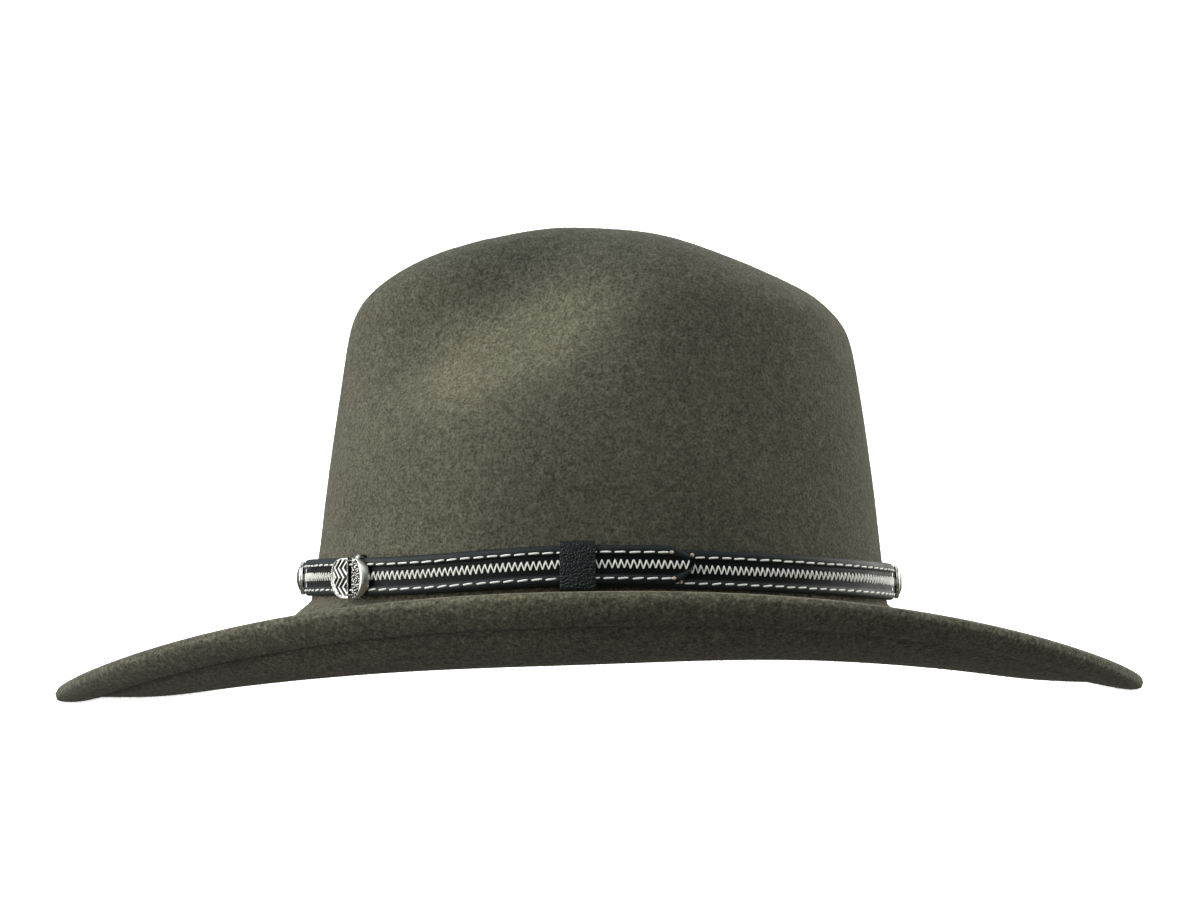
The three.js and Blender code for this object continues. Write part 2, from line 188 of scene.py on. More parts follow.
def note_amounts(piece, name, values):
    """Keeps a number at each vertex for the material, such as how deep a groove is there."""
    amounts = piece.data.attributes.new(name, "FLOAT", "POINT")
    amounts.data.foreach_set("value", np.asarray(values, np.float32))


def finished(piece, material, slot, *nodes):
    """Gives a modelled piece its material and fixes it to the hat."""
    only(piece)
    bpy.ops.object.transform_apply(location=True, rotation=True, scale=True)
    piece.data.materials.clear()
    piece.data.materials.append(material)
    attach(piece, "root")
    if nodes:
        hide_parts(*nodes)
    nothing_selected()
    return piece


def tube(name, rings, sides):
    """A straight closed tube of rings along X, whose vertices can be placed by ring and side."""
    nothing_selected()
    bpy.ops.mesh.primitive_cylinder_add(
        vertices=sides, radius=1.0, depth=2.0, end_fill_type="NGON", rotation=(0.0, math.pi / 2, 0.0)
    )
    piece = added(name)
    bpy.ops.object.transform_apply(location=False, rotation=True, scale=False)
    bpy.ops.object.mode_set(mode="EDIT")
    mesh = bmesh.from_edit_mesh(piece.data)
    for edge in mesh.edges:
        edge.select_set(abs(edge.verts[0].co.x - edge.verts[1].co.x) > 1.0)
    bmesh.update_edit_mesh(piece.data)
    bpy.ops.mesh.subdivide_edgering(number_cuts=rings - 2, interpolation="LINEAR", smoothness=0.0)
    bpy.ops.object.mode_set(mode="OBJECT")
    places = coords(piece)
    ring = np.rint((places[:, 0] + 1.0) / 2.0 * (rings - 1)).astype(int)
    side = np.rint(np.mod(np.arctan2(places[:, 2], places[:, 1]), 2 * math.pi) / (2 * math.pi) * sides)
    side = side.astype(int) % sides
    return piece, ring, side


# Node trees
NO_CHANGE = (1.0, 1.0, 1.0)


class Nodes:
    """A node tree under construction."""

    def __init__(self, tree):
        self.tree = tree

    def node(self, kind, **values):
        made = self.tree.nodes.new(kind)
        for key, value in values.items():
            setattr(made, key, value)
        return made

    def link(self, output, socket):
        self.tree.links.new(output, socket)

    def math(self, operation, first, second):
        made = self.node("ShaderNodeMath", operation=operation)
        for socket, value in zip(made.inputs, (first, second)):
            if isinstance(value, (int, float)):
                socket.default_value = value
            else:
                self.link(value, socket)
        return made.outputs["Value"]

    def mix(self, share, first, second, blend="MIX"):
        made = self.node("ShaderNodeMix", data_type="RGBA", blend_type=blend)
        sockets = [made.inputs[0], made.inputs[6], made.inputs[7]]
        for socket, value in zip(sockets, (share, first, second)):
            if isinstance(value, (int, float)):
                socket.default_value = value
            elif isinstance(value, tuple):
                socket.default_value = value if len(value) == 4 else (*value, 1.0)
            else:
                self.link(value, socket)
        return made.outputs[2]


# Materials
class Finish(Nodes):
    """A node material under construction."""

    def __init__(self, name):
        self.material = bpy.data.materials.new(name)
        self.material.use_nodes = True
        super().__init__(self.material.node_tree)
        self.shader = self.tree.nodes["Principled BSDF"]
        self.place = self.node("ShaderNodeTexCoord").outputs["Object"]

    def noise(self, scale, detail=2.0, roughness=0.5, stretch=NO_CHANGE):
        place = self.place
        if stretch != NO_CHANGE:
            mapping = self.node("ShaderNodeMapping")
            mapping.inputs["Scale"].default_value = stretch
            self.link(place, mapping.inputs["Vector"])
            place = mapping.outputs["Vector"]
        made = self.node("ShaderNodeTexNoise")
        made.inputs["Scale"].default_value = scale
        made.inputs["Detail"].default_value = detail
        made.inputs["Roughness"].default_value = roughness
        self.link(place, made.inputs["Vector"])
        return made.outputs["Fac"]

    def cells(self, scale, feature="F1"):
        made = self.node("ShaderNodeTexVoronoi", feature=feature)
        made.inputs["Scale"].default_value = scale
        self.link(self.place, made.inputs["Vector"])
        return made.outputs["Distance"]

    def ellipsoid(self, shape):
        """1 in the middle of an ellipsoid, 0 outside it and soft between."""
        made = self.node("ShaderNodeMapping", vector_type="TEXTURE")
        made.inputs["Location"].default_value = shape["middle"]
        made.inputs["Rotation"].default_value = (0.0, -math.radians(shape["slope"]), 0.0)
        made.inputs["Scale"].default_value = shape["half_size"]
        self.link(self.place, made.inputs["Vector"])
        reach = self.node("ShaderNodeVectorMath", operation="LENGTH")
        self.link(made.outputs["Vector"], reach.inputs[0])
        soft = self.node("ShaderNodeMapRange", interpolation_type="SMOOTHSTEP")
        soft.inputs["From Min"].default_value = 1.0
        soft.inputs["From Max"].default_value = PLACE_CORE
        self.link(reach.outputs["Value"], soft.inputs["Value"])
        return soft.outputs["Result"]

    def height(self):
        made = self.node("ShaderNodeSeparateXYZ")
        self.link(self.place, made.inputs["Vector"])
        return made.outputs["Z"]

    def attribute(self, name):
        return self.node("ShaderNodeAttribute", attribute_name=name).outputs["Fac"]

    def spread(self, value, low, high, to_low=0.0, to_high=1.0):
        made = self.node("ShaderNodeMapRange")
        self.link(value, made.inputs["Value"])
        for key, number in (("From Min", low), ("From Max", high), ("To Min", to_low), ("To Max", to_high)):
            made.inputs[key].default_value = number
        return made.outputs["Result"]

    def tinted(self, tone, share, tint):
        """The tone, made lighter or darker by a tint where the share is 1."""
        return self.mix(1.0, tone, self.mix(share, NO_CHANGE, tint), "MULTIPLY")

    def bump(self, height, distance, strength):
        made = self.node("ShaderNodeBump")
        made.inputs["Strength"].default_value = strength
        made.inputs["Distance"].default_value = distance
        self.link(height, made.inputs["Height"])
        return made.outputs["Normal"]

    def colour(self, value):
        self.link(value, self.shader.inputs["Base Color"])

    def normal(self, value):
        self.link(value, self.shader.inputs["Normal"])

    def rough(self, value):
        self.link(value, self.shader.inputs["Roughness"])


def times(colour, factor):
    return tuple(min(1.0, max(0.0, channel * factor)) for channel in colour[:3])


# Half the width, in metres, of a place that reaches right across the hat
RIGHT_ACROSS = 1000.0
# The share of the way from a place's middle to its edge within which it shows fully
PLACE_CORE = 0.35
# Where light and shade are painted into the felt, on both sides of the hat: the middle of the place in
# metres, half its size, its slope in degrees and how much lighter or darker it looks. Painted light lies in
# the side dents, painted shade on the top and on the felt above the strap, and painted light along the top of
# the brim
PAINTED_LIGHT_PLACES = {
    "painted_light_in_dent": {"middle": (-0.029, 0.0, 0.1215), "half_size": (0.056, RIGHT_ACROSS, 0.020), "slope": 25.0,
               "tone": (1.40, 1.37, 1.33)},
    "painted_shade_on_top": {"middle": (-0.025, 0.0, 0.170), "half_size": (0.120, RIGHT_ACROSS, 0.034), "slope": 0.0,
                "tone": (0.80, 0.83, 0.85)},
    "painted_shade_above_strap": {"middle": (0.012, 0.0, 0.052), "half_size": (0.070, RIGHT_ACROSS, 0.040), "slope": 0.0,
               "tone": (0.80, 0.81, 0.80)},
    "painted_light_on_brim": {"middle": (0.0, 0.0, 0.0375), "half_size": (0.130, RIGHT_ACROSS, 0.0085), "slope": 0.0,
                "tone": (1.34, 1.31, 1.26)},
}

# The brim's nap is fluffier: the heights between which the crown's nap turns into it, and its tones
BRIM_NAP = {"crown_from": 0.046, "brim_to": 0.036, "tones": ((0.70, 0.70, 0.70), (1.46, 1.44, 1.42))}

# Painted shade on the felt in the corner beside the welt's fold and along the fold's lip: the fold's amounts
# between which it darkens, and its tone there
FOLD_PAINTED_SHADE = {
    "corner": {"from": 0.55, "to": 1.0, "tone": (0.30, 0.30, 0.30)},
    "lip": {"from": -0.78, "to": -1.0, "tone": (0.35, 0.36, 0.36)},
}


def felt_finish(settings):
    made = Finish("wool_felt")
    base = tuple(settings.colour)
    grain = made.noise(settings.grain_scale, detail=3.0, roughness=0.65)
    clumps = made.noise(settings.grain_scale * 0.32, detail=2.0, roughness=0.55)
    mottle = made.noise(28.0, detail=3.0, roughness=0.5)
    tone = made.mix(made.spread(grain, 0.34, 0.66), times(base, 0.52), times(base, 1.52))
    depth = made.mix(made.spread(clumps, 0.32, 0.68), (0.80, 0.80, 0.80), (1.17, 1.165, 1.15))
    tone = made.mix(1.0, tone, depth, "MULTIPLY")
    drift = made.mix(made.spread(mottle, 0.35, 0.65), (0.94, 0.945, 0.95), (1.06, 1.05, 1.035))
    tone = made.mix(1.0, tone, drift, "MULTIPLY")
    fluff = made.spread(made.noise(620.0, detail=3.0, roughness=0.7), 0.36, 0.64)
    on_brim = made.spread(made.height(), BRIM_NAP["crown_from"], BRIM_NAP["brim_to"])
    tone = made.mix(on_brim, tone, made.mix(1.0, tone, made.mix(fluff, *BRIM_NAP["tones"]), "MULTIPLY"))
    # Painted light and shade in the places listed above
    for place in PAINTED_LIGHT_PLACES.values():
        share = made.math("MULTIPLY", made.ellipsoid(place), settings.painted_light_contrast)
        tone = made.tinted(tone, share, place["tone"])
    # Painted shade beside the welt's fold and along its lip
    fold = made.attribute("fold")
    for shade in FOLD_PAINTED_SHADE.values():
        tone = made.tinted(tone, made.spread(fold, shade["from"], shade["to"]), shade["tone"])
    made.colour(tone)
    height = made.math("ADD", made.math("MULTIPLY", grain, 0.7), made.math("MULTIPLY", clumps, 0.6))
    made.normal(made.bump(height, 0.0007, 0.9))
    made.shader.inputs["Roughness"].default_value = 1.0
    made.shader.inputs["Specular IOR Level"].default_value = 0.08
    made.shader.inputs["Sheen Weight"].default_value = settings.sheen
    made.shader.inputs["Sheen Roughness"].default_value = 0.45
    made.shader.inputs["Sheen Tint"].default_value = (0.78, 0.76, 0.68, 1.0)
    return made.material


def nap_finish(settings):
    made = Finish("felt_nap_fibre")
    base = tuple(settings.colour)
    tuft = made.noise(420.0, detail=2.0)
    made.colour(made.mix(made.spread(tuft, 0.35, 0.65), times(base, 1.0), times(base, 2.5)))
    made.shader.inputs["Specular IOR Level"].default_value = 0.1
    made.shader.inputs["Sheen Weight"].default_value = 0.2
    made.rough(made.spread(tuft, 0.3, 0.7, 0.8, 1.0))
    return made.material


def leather_finish(settings):
    made = Finish("black_strap_leather")
    base = tuple(settings.leather_colour)
    fine = made.noise(2600.0, detail=3.0, roughness=0.6)
    pores = made.cells(1500.0)
    patches = made.noise(120.0, detail=3.0)
    tone = made.mix(made.spread(patches, 0.35, 0.65), times(base, 0.75), times(base, 1.3))
    tone = made.mix(made.spread(fine, 0.45, 0.75), tone, times(base, 2.6))
    # Painted shade: the leather is darkened in the sunk channel
    channel = made.attribute("channel")
    tone = made.mix(channel, tone, times(base, 0.35))
    made.colour(tone)
    height = made.math("ADD", made.math("MULTIPLY", fine, 0.6), made.math("MULTIPLY", pores, 0.5))
    made.normal(made.bump(height, 0.00016, 0.7))
    made.rough(made.spread(patches, 0.3, 0.7, 0.44, 0.58))
    made.link(made.spread(channel, 0.0, 1.0, 0.24, 0.12), made.shader.inputs["Specular IOR Level"])
    return made.material


def pebbled_finish(settings):
    made = Finish("pebbled_keeper_leather")
    base = tuple(settings.leather_colour)
    pebbles = made.cells(1450.0)
    creases = made.cells(1450.0, feature="DISTANCE_TO_EDGE")
    # Painted shade in the creases between the pebbles and painted highlights on their tops
    made.colour(made.mix(made.spread(creases, 0.06, 0.30), times(base, 0.3), times(base, 2.5)))
    made.normal(made.bump(made.math("SUBTRACT", 1.0, pebbles), 0.0005, 1.0))
    made.rough(made.spread(creases, 0.0, 0.2, 0.60, 0.36))
    made.shader.inputs["Specular IOR Level"].default_value = 0.26
    return made.material


def thread_finish(name, colour, glow=0.10):
    """Twisted thread, whose faint glow paints a little extra light on it."""
    made = Finish(name)
    ply = made.noise(3800.0, detail=2.0, stretch=(1.0, 1.0, 0.5))
    made.colour(made.mix(made.spread(ply, 0.35, 0.65), times(colour, 0.72), times(colour, 1.06)))
    made.normal(made.bump(ply, 0.0001, 0.8))
    made.shader.inputs["Roughness"].default_value = 0.6
    made.shader.inputs["Sheen Weight"].default_value = 0.6
    # Painted light: the thread glows a little
    made.shader.inputs["Emission Color"].default_value = (*colour[:3], 1.0)
    made.shader.inputs["Emission Strength"].default_value = glow
    return made.material


def silver_finish(settings):
    made = Finish("cast_silver")
    base = tuple(settings.silver_colour)
    # Patina in the cuts, grain and hollows, and painted shade on the buckle's side bars, heel, plate walls
    # and inner edges, darken the silver
    patina_and_shade = made.attribute("patina_and_shade")
    tarnish = made.noise(700.0, detail=4.0, roughness=0.65)
    depth = made.math("ADD", patina_and_shade, made.math("MULTIPLY", made.math("SUBTRACT", tarnish, 0.5), 0.5))
    made.colour(made.mix(made.spread(depth, 0.15, 0.75), base, times(base, 0.03)))
    grain = made.noise(1900.0, detail=2.0)
    made.normal(made.bump(grain, 0.00012, 0.55))
    made.rough(made.spread(tarnish, 0.3, 0.75, 0.16, 0.42))
    made.shader.inputs["Metallic"].default_value = 1.0
    return made.material


def stone_finish(settings):
    made = Finish("cut_black_stone")
    cloud = made.noise(260.0, detail=3.0)
    made.colour(made.mix(made.spread(cloud, 0.3, 0.7), (0.004, 0.004, 0.005), (0.016, 0.017, 0.02)))
    made.rough(made.spread(cloud, 0.3, 0.7, 0.06, 0.14))
    made.shader.inputs["Coat Weight"].default_value = 0.6
    made.shader.inputs["Coat Roughness"].default_value = 0.04
    return made.material


def backdrop_finish(settings):
    made = Finish("white_paper")
    fibre = made.noise(3.0, detail=2.0)
    made.colour(made.mix(fibre, (0.93, 0.93, 0.93), (0.95, 0.95, 0.95)))
    made.shader.inputs["Roughness"].default_value = 1.0
    made.shader.inputs["Specular IOR Level"].default_value = 0.0
    made.shader.inputs["Emission Color"].default_value = (1.0, 1.0, 1.0, 1.0)
    made.shader.inputs["Emission Strength"].default_value = settings.paper_glow
    return made.material


# Properties
class FeltSettings(bpy.types.PropertyGroup):
    colour: bpy.props.FloatVectorProperty(
        name="Felt colour", description="Colour of the wool felt", subtype="COLOR",
        size=3, min=0.0, max=1.0, default=(0.098, 0.094, 0.070),
    )
    grain_scale: bpy.props.FloatProperty(
        name="Grain", description="How fine the felt's grain is, in grains for each metre",
        default=1150.0, min=200.0, max=4000.0,
    )
    sheen: bpy.props.FloatProperty(
        name="Sheen", description="How much light the nap catches at a glancing angle",
        subtype="FACTOR", default=0.15, min=0.0, max=1.0,
    )
    # How strongly the painted light and shade of the felt's places show
    painted_light_contrast: bpy.props.FloatProperty(
        name="Painted light contrast", description="How clearly the rubbed and pressed places of the nap show",
        subtype="FACTOR", default=1.0, min=0.0, max=1.0,
    )
    fibres: bpy.props.IntProperty(
        name="Fibres", description="How many loose fibres stand out of each half of the felt",
        default=46000, min=1000, max=49000,
    )
    fibre_length: bpy.props.FloatProperty(
        name="Fibre length", description="Length of the longest loose fibres", subtype="DISTANCE",
        unit="LENGTH", default=0.0011, min=0.0003, max=0.003, precision=5,
    )


class StrapSettings(bpy.types.PropertyGroup):
    leather_colour: bpy.props.FloatVectorProperty(
        name="Leather colour", description="Colour of the strap and its keeper", subtype="COLOR",
        size=3, min=0.0, max=1.0, default=(0.0078, 0.0105, 0.0122),
    )
    thread_colour: bpy.props.FloatVectorProperty(
        name="Thread colour", description="Colour of the stitches", subtype="COLOR",
        size=3, min=0.0, max=1.0, default=(0.95, 0.94, 0.88),
    )
    knot_colour: bpy.props.FloatVectorProperty(
        name="Knot colour", description="Colour of the melted thread ends", subtype="COLOR",
        size=3, min=0.0, max=1.0, default=(0.74, 0.55, 0.38),
    )
    silver_colour: bpy.props.FloatVectorProperty(
        name="Silver colour", description="Colour of the buckle and the settings", subtype="COLOR",
        size=3, min=0.0, max=1.0, default=(0.58, 0.57, 0.54),
    )
    stitch_pitch: bpy.props.FloatProperty(
        name="Stitch pitch", description="From one stitch to the next", subtype="DISTANCE", unit="LENGTH",
        default=0.00466, min=0.003, max=0.008, precision=5,
    )
    stitch_length: bpy.props.FloatProperty(
        name="Stitch length", description="Length of one stitch", subtype="DISTANCE", unit="LENGTH",
        default=0.0038, min=0.002, max=0.006, precision=5,
    )
    zigzag_pitch: bpy.props.FloatProperty(
        name="Zigzag pitch", description="Length of one V of the zigzag", subtype="DISTANCE", unit="LENGTH",
        default=0.00203, min=0.001, max=0.005, precision=5,
    )


class StageSettings(bpy.types.PropertyGroup):
    paper_glow: bpy.props.FloatProperty(
        name="Paper glow", description="How strongly the white backdrop shines",
        default=1.0, min=0.0, max=3.0,
    )
    sky: bpy.props.FloatProperty(
        name="Tent light", description="Brightness of all the soft lights together",
        default=1.0, min=0.0, max=5.0,
    )
    lens: bpy.props.FloatProperty(
        name="Lens", description="Focal length of the camera in millimetres",
        default=82.2, min=20.0, max=200.0,
    )
    camera_distance: bpy.props.FloatProperty(
        name="Camera distance", description="From the hat's middle to the camera", subtype="DISTANCE",
        unit="LENGTH", default=1.0, min=0.3, max=5.0,
    )
    camera_height: bpy.props.FloatProperty(
        name="Camera height", description="Height of the camera above the floor", subtype="DISTANCE",
        unit="LENGTH", default=0.0352, min=0.005, max=2.0,
    )
    camera_aside: bpy.props.FloatProperty(
        name="Camera aside", description="How far right of the hat's middle the camera stands",
        subtype="DISTANCE", unit="LENGTH", default=0.0011, min=-1.0, max=1.0, precision=4,
    )
    camera_pitch: bpy.props.FloatProperty(
        name="Camera pitch", description="How far the camera looks up", subtype="ANGLE", unit="ROTATION",
        default=math.radians(3.08), min=-1.5, max=1.5,
    )
    camera_roll: bpy.props.FloatProperty(
        name="Camera roll", description="How far the camera leans clockwise", subtype="ANGLE",
        unit="ROTATION", default=math.radians(0.66), min=-0.5, max=0.5,
    )


# Felt
# How the skin is made: the distance in metres within which corners merge, the angle in degrees up to which
# triangles join into quads, the angle past which an edge is creased and how sharply, and how often the faces
# are split
SKIN = {"merge": 1e-6, "quad_angle": 60.0, "crease_angle": 42.0, "crease": 0.85, "levels": 2}
# On the brim, below this height in metres, the CAD felt's only edges shorter than this length cross the step
# where the welt's fold ends
BRIM_BELOW = 0.045
WELT_STEP_LENGTH = 0.00108


def welt_painted_shade_mask(piece):
    """Where painted shade goes: 1 in the corner beside the welt's fold, -1 along the fold's lip and 0
    elsewhere.
    """
    ends = np.empty(len(piece.data.edges) * 2, np.int32)
    piece.data.edges.foreach_get("vertices", ends)
    ends = ends.reshape(-1, 2)
    places = coords(piece)
    lengths = np.linalg.norm(places[ends[:, 0]] - places[ends[:, 1]], axis=1)
    steps = ends[(lengths < WELT_STEP_LENGTH) & (places[ends[:, 0], 2] < BRIM_BELOW)]
    rising = places[steps[:, 1], 2] > places[steps[:, 0], 2]
    line = np.zeros(len(places))
    line[np.where(rising, steps[:, 0], steps[:, 1])] = -1.0
    line[np.where(rising, steps[:, 1], steps[:, 0])] = 1.0
    return line


class HAT_OT_felt(bpy.types.Operator):
    """Model the felt's smooth skin from the CAD felt"""

    bl_idname = "felt_hat.felt"
    bl_label = "Felt"

    def execute(self, context):
        skin = bpy.data.objects.new("felt_skin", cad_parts["felt_body"].data.copy())
        context.scene.collection.objects.link(skin)
        only(skin)
        bpy.ops.object.mode_set(mode="EDIT")
        bpy.ops.mesh.select_all(action="SELECT")
        bpy.ops.mesh.remove_doubles(threshold=SKIN["merge"])
        quad_angle = math.radians(SKIN["quad_angle"])
        bpy.ops.mesh.tris_convert_to_quads(face_threshold=quad_angle, shape_threshold=quad_angle)
        bpy.ops.mesh.select_all(action="DESELECT")
        bpy.ops.mesh.select_mode(type="EDGE")
        bpy.ops.mesh.edges_select_sharp(sharpness=math.radians(SKIN["crease_angle"]))
        bpy.ops.transform.edge_crease(value=SKIN["crease"])
        bpy.ops.object.mode_set(mode="OBJECT")
        note_amounts(skin, "fold", welt_painted_shade_mask(skin))
        subdivided(skin, SKIN["levels"])
        bpy.ops.object.shade_smooth()
        finished(skin, felt_finish(context.scene.felt_settings), "felt", "felt_body")
        return {"FINISHED"}


# Nap
# A fibre's radius and how deep its root is sunk, the angles it leans from straight out, and the length of the
# shortest as a share of the longest
FIBRE = {"radius": 0.000055, "sunk": 0.00015, "least_lean": 0.2, "most_lean": 1.25, "shortest": 0.45}
NAP_SEEDS = {"near": 3, "far": 4}
# A slanting direction that each fibre's sideways direction is squared to
CROSSWAYS = np.array([0.31, 0.17, 0.93])
# A face is on the outer side when it looks away from the crown's middle, or up and lies below this height
CROWN_MIDDLE = np.array([0.0, 0.0, 0.06])
HOLLOW_BELOW = 0.030


def unit(rows):
    return rows / np.linalg.norm(rows, axis=1)[:, None]


def outer_faces(piece):
    """The corners, directions and areas of the felt's triangles, with no area for those inside the crown."""
    triangles = piece.data.loop_triangles
    piece.data.calc_loop_triangles()
    vertices = np.empty(len(triangles) * 3, np.int32)
    triangles.foreach_get("vertices", vertices)
    corners = coords(piece)[vertices.reshape(-1, 3)]
    cross = np.cross(corners[:, 1] - corners[:, 0], corners[:, 2] - corners[:, 0])
    double = np.linalg.norm(cross, axis=1)
    facing = cross / np.maximum(double, 1e-12)[:, None]
    middle = corners.mean(axis=1)
    outer = ((middle - CROWN_MIDDLE) * facing).sum(axis=1) > 0.0
    outer |= (middle[:, 2] < HOLLOW_BELOW) & (facing[:, 2] > 0.0)
    return corners, facing, double / 2 * outer


class HAT_OT_nap(bpy.types.Operator):
    """Raise short loose fibres out of the outer side of the felt"""

    bl_idname = "felt_hat.nap"
    bl_label = "Nap"

    def execute(self, context):
        settings = context.scene.felt_settings
        material = nap_finish(settings)
        corners, facing, areas = outer_faces(bpy.data.objects["felt_skin"])
        for name, seed in NAP_SEEDS.items():
            side = (facing[:, 1] < 0.0) == (name == "near")
            fibre = self.spikes("nap_" + name, settings.fibres)
            draw = np.random.default_rng(seed)
            places = coords(fibre).reshape(settings.fibres, 4, 3)
            face = draw.choice(len(areas), settings.fibres, p=areas * side / (areas * side).sum())
            set_coords(fibre, self.planted(places, corners[face], facing[face], settings.fibre_length, draw))
            facing_out(fibre)
            finished(fibre, material, "felt")
        return {"FINISHED"}

    def spikes(self, name, count):
        """Three-sided closed spikes in one place, each from 0 to 1 along Z."""
        nothing_selected()
        bpy.ops.mesh.primitive_cone_add(
            vertices=3, radius1=FIBRE["radius"], radius2=0.0, depth=1.0, end_fill_type="NGON",
            location=(0.0, 0.0, 0.5),
        )
        fibre = added(name)
        bpy.ops.object.transform_apply(location=True, rotation=True, scale=True)
        return apply_modifier(
            fibre, "ARRAY", fit_type="FIXED_COUNT", count=count, use_relative_offset=False,
            use_constant_offset=False,
        )

    def planted(self, places, corners, outwards, longest, draw):
        """Stands each spike at a random place of its triangle, leaning a random way."""
        count = len(places)
        one, two = draw.random(count), draw.random(count)
        over = one + two > 1.0
        one, two = np.where(over, 1.0 - one, one), np.where(over, 1.0 - two, two)
        root = corners[:, 0] + (corners[:, 1] - corners[:, 0]) * one[:, None]
        root += (corners[:, 2] - corners[:, 0]) * two[:, None] - outwards * FIBRE["sunk"]
        turn = draw.uniform(0.0, 2 * math.pi, count)[:, None]
        lean = draw.uniform(FIBRE["least_lean"], FIBRE["most_lean"], count)[:, None]
        length = draw.uniform(FIBRE["shortest"], 1.0, count)[:, None] * longest
        sideways = unit(np.cross(outwards, CROSSWAYS))
        flat = sideways * np.cos(turn) + np.cross(outwards, sideways) * np.sin(turn)
        along = outwards * np.cos(lean) + flat * np.sin(lean)
        across = unit(np.cross(along, sideways * np.sin(turn) - np.cross(outwards, sideways) * np.cos(turn)))
        third = np.cross(along, across)
        placed = across[:, None] * places[:, :, :1] + third[:, None] * places[:, :, 1:2]
        return root[:, None] + placed + (along * length)[:, None] * places[:, :, 2:]


# Strap
# The strap's section: how far each place is up the strap and how far out
STRAP_SECTION = [
    (0.9, 0.0), (0.25, 0.25), (0.0, 0.8), (0.1, 1.45), (0.5, 2.0), (1.2, 2.3), (2.0, 2.34), (2.7, 2.2),
    (3.1, 2.05), (3.25, 1.78), (3.6, 1.72), (5.2, 1.78), (6.6, 1.80), (8.0, 1.78), (9.55, 1.72),
    (9.9, 1.78), (10.05, 2.05), (10.5, 2.2), (11.2, 2.34), (12.0, 2.3), (12.7, 2.0), (13.1, 1.45),
    (13.2, 0.8), (12.95, 0.25), (12.3, 0.0), (6.6, 0.0),
]
# The tongue's tip: lowest and highest place of the strap at a travel back from the tip
TONGUE_TIP = [(7.8, 0.0, 13.2), (6.4, 0.45, 12.5), (4.8, 1.4, 11.7), (3.4, 2.5, 10.95), (2.0, 3.9, 10.2),
              (1.1, 5.4, 9.75), (0.4, 6.8, 9.4), (0.0, 7.7, 9.1)]
STATION_STEP = 2.1
# The sunk channel's places on the section: how far up they lie, and past what distance out
CHANNEL = {"low": 3.15, "high": 10.0, "out": 1.0}


class HAT_OT_strap(bpy.types.Operator):
    """Model the leather strap with its padded borders"""

    bl_idname = "felt_hat.strap"
    bl_label = "Strap leather"

    def execute(self, context):
        start, tip = travel_at(STRAP_START), travel_at(TONGUE["tip"])
        shoulder = tip - TONGUE_TIP[0][0]
        body = np.linspace(start, shoulder, int((shoulder - start) / STATION_STEP))
        stations = np.concatenate([body, [tip - back for back, _, _ in TONGUE_TIP[1:]]])
        backs = np.array([row[0] for row in TONGUE_TIP[::-1]])
        lows = np.interp(tip - stations, backs, [row[1] for row in TONGUE_TIP[::-1]])
        highs = np.interp(tip - stations, backs, [row[2] for row in TONGUE_TIP[::-1]])
        strap, ring, side = tube("strap_leather", len(stations), len(STRAP_SECTION))
        section_up, section_out = np.array(STRAP_SECTION)[side].T
        up = lows[ring] + section_up / STRAP_HEIGHT * (highs - lows)[ring]
        set_coords(strap, np.stack([stations[ring], -section_out, up], axis=-1) * MM)
        sunk = (section_up > CHANNEL["low"]) & (section_up < CHANNEL["high"]) & (section_out > CHANNEL["out"])
        # Marks the sunk channel, where the leather gets painted shade
        note_amounts(strap, "channel", sunk)
        lay_round_crown(strap)
        facing_out(strap)
        subdivided(strap, 1)
        smooth(strap, 50.0)
        finished(strap, leather_finish(context.scene.strap_settings), "strap_leather", "band_strap")
        return {"FINISHED"}


# Stitches, zigzag and knots
# The threads start this far along the strap
THREAD_START = 3.0
# Each row: how far up and out it lies, how far from the tongue's tip it ends, and how its stitches tilt
STITCH_ROWS = {
    "upper": {"up": 10.75, "out": 2.12, "end_back": 8.9, "tilt": 0.055},
    "lower": {"up": 2.05, "out": 2.12, "end_back": 8.0, "tilt": 0.10},
}
# A stitch's rings: share of its length from the middle, radius and how far out of the leather
STITCH_RINGS = [(-0.5, 0.14, -0.36), (-0.44, 0.28, -0.04), (-0.24, 0.36, 0.08), (0.0, 0.38, 0.12),
                (0.24, 0.36, 0.08), (0.44, 0.28, -0.04), (0.5, 0.14, -0.36)]
STITCH_SIDES = 6
STITCH_SQUASH = 0.95
# How unevenly the stitches lie, each way with its own seed
STITCH_WANDER = {
    "tilt": (0.05, 1), "up": (0.09, 2), "length": (0.06, 3), "out": (0.04, 4), "along": (0.12, 5),
}
# The zigzag's own height, its place on the strap, how its thread is drawn, and the thread's radius on the
# way down and on the way up
ZIGZAG = {
    "height": 2.9, "up": 6.75, "out": 1.86, "end_back": 1.2, "rings": 13, "sides": 5, "arch": 0.34,
    "sunk": 0.10, "radius_down": 0.22, "radius_up": 0.30,
}
ZIGZAG_WANDER = {"height": (0.07, 6), "up": (0.10, 7), "along": (0.10, 8)}
# Where the zigzag dips under the buckle, from the buckle's place along the strap, and how deep
ZIGZAG_DIP = {"from": -0.5, "to": 4.2, "depth": 1.2}
# The knots: how far back from the tongue's tip, how far up, and whether they lie on the tongue
KNOTS = {
    "upper": {"back": 8.1, "up": 10.9, "on_tongue": True},
    "tip": {"back": 0.6, "up": 10.2, "on_tongue": False},
    "lower": {"back": 7.4, "up": 2.2, "on_tongue": True},
    "loose": {"back": 4.6, "up": 1.0, "on_tongue": False},
}
# A knot's radius, stretch and place out of the leather, and its bumps: how high and how close together
KNOT = {"radius": 0.62, "stretch": (1.15, 0.7, 0.9), "out": 0.1, "bump": 0.08, "waves": (9.0, 8.0)}


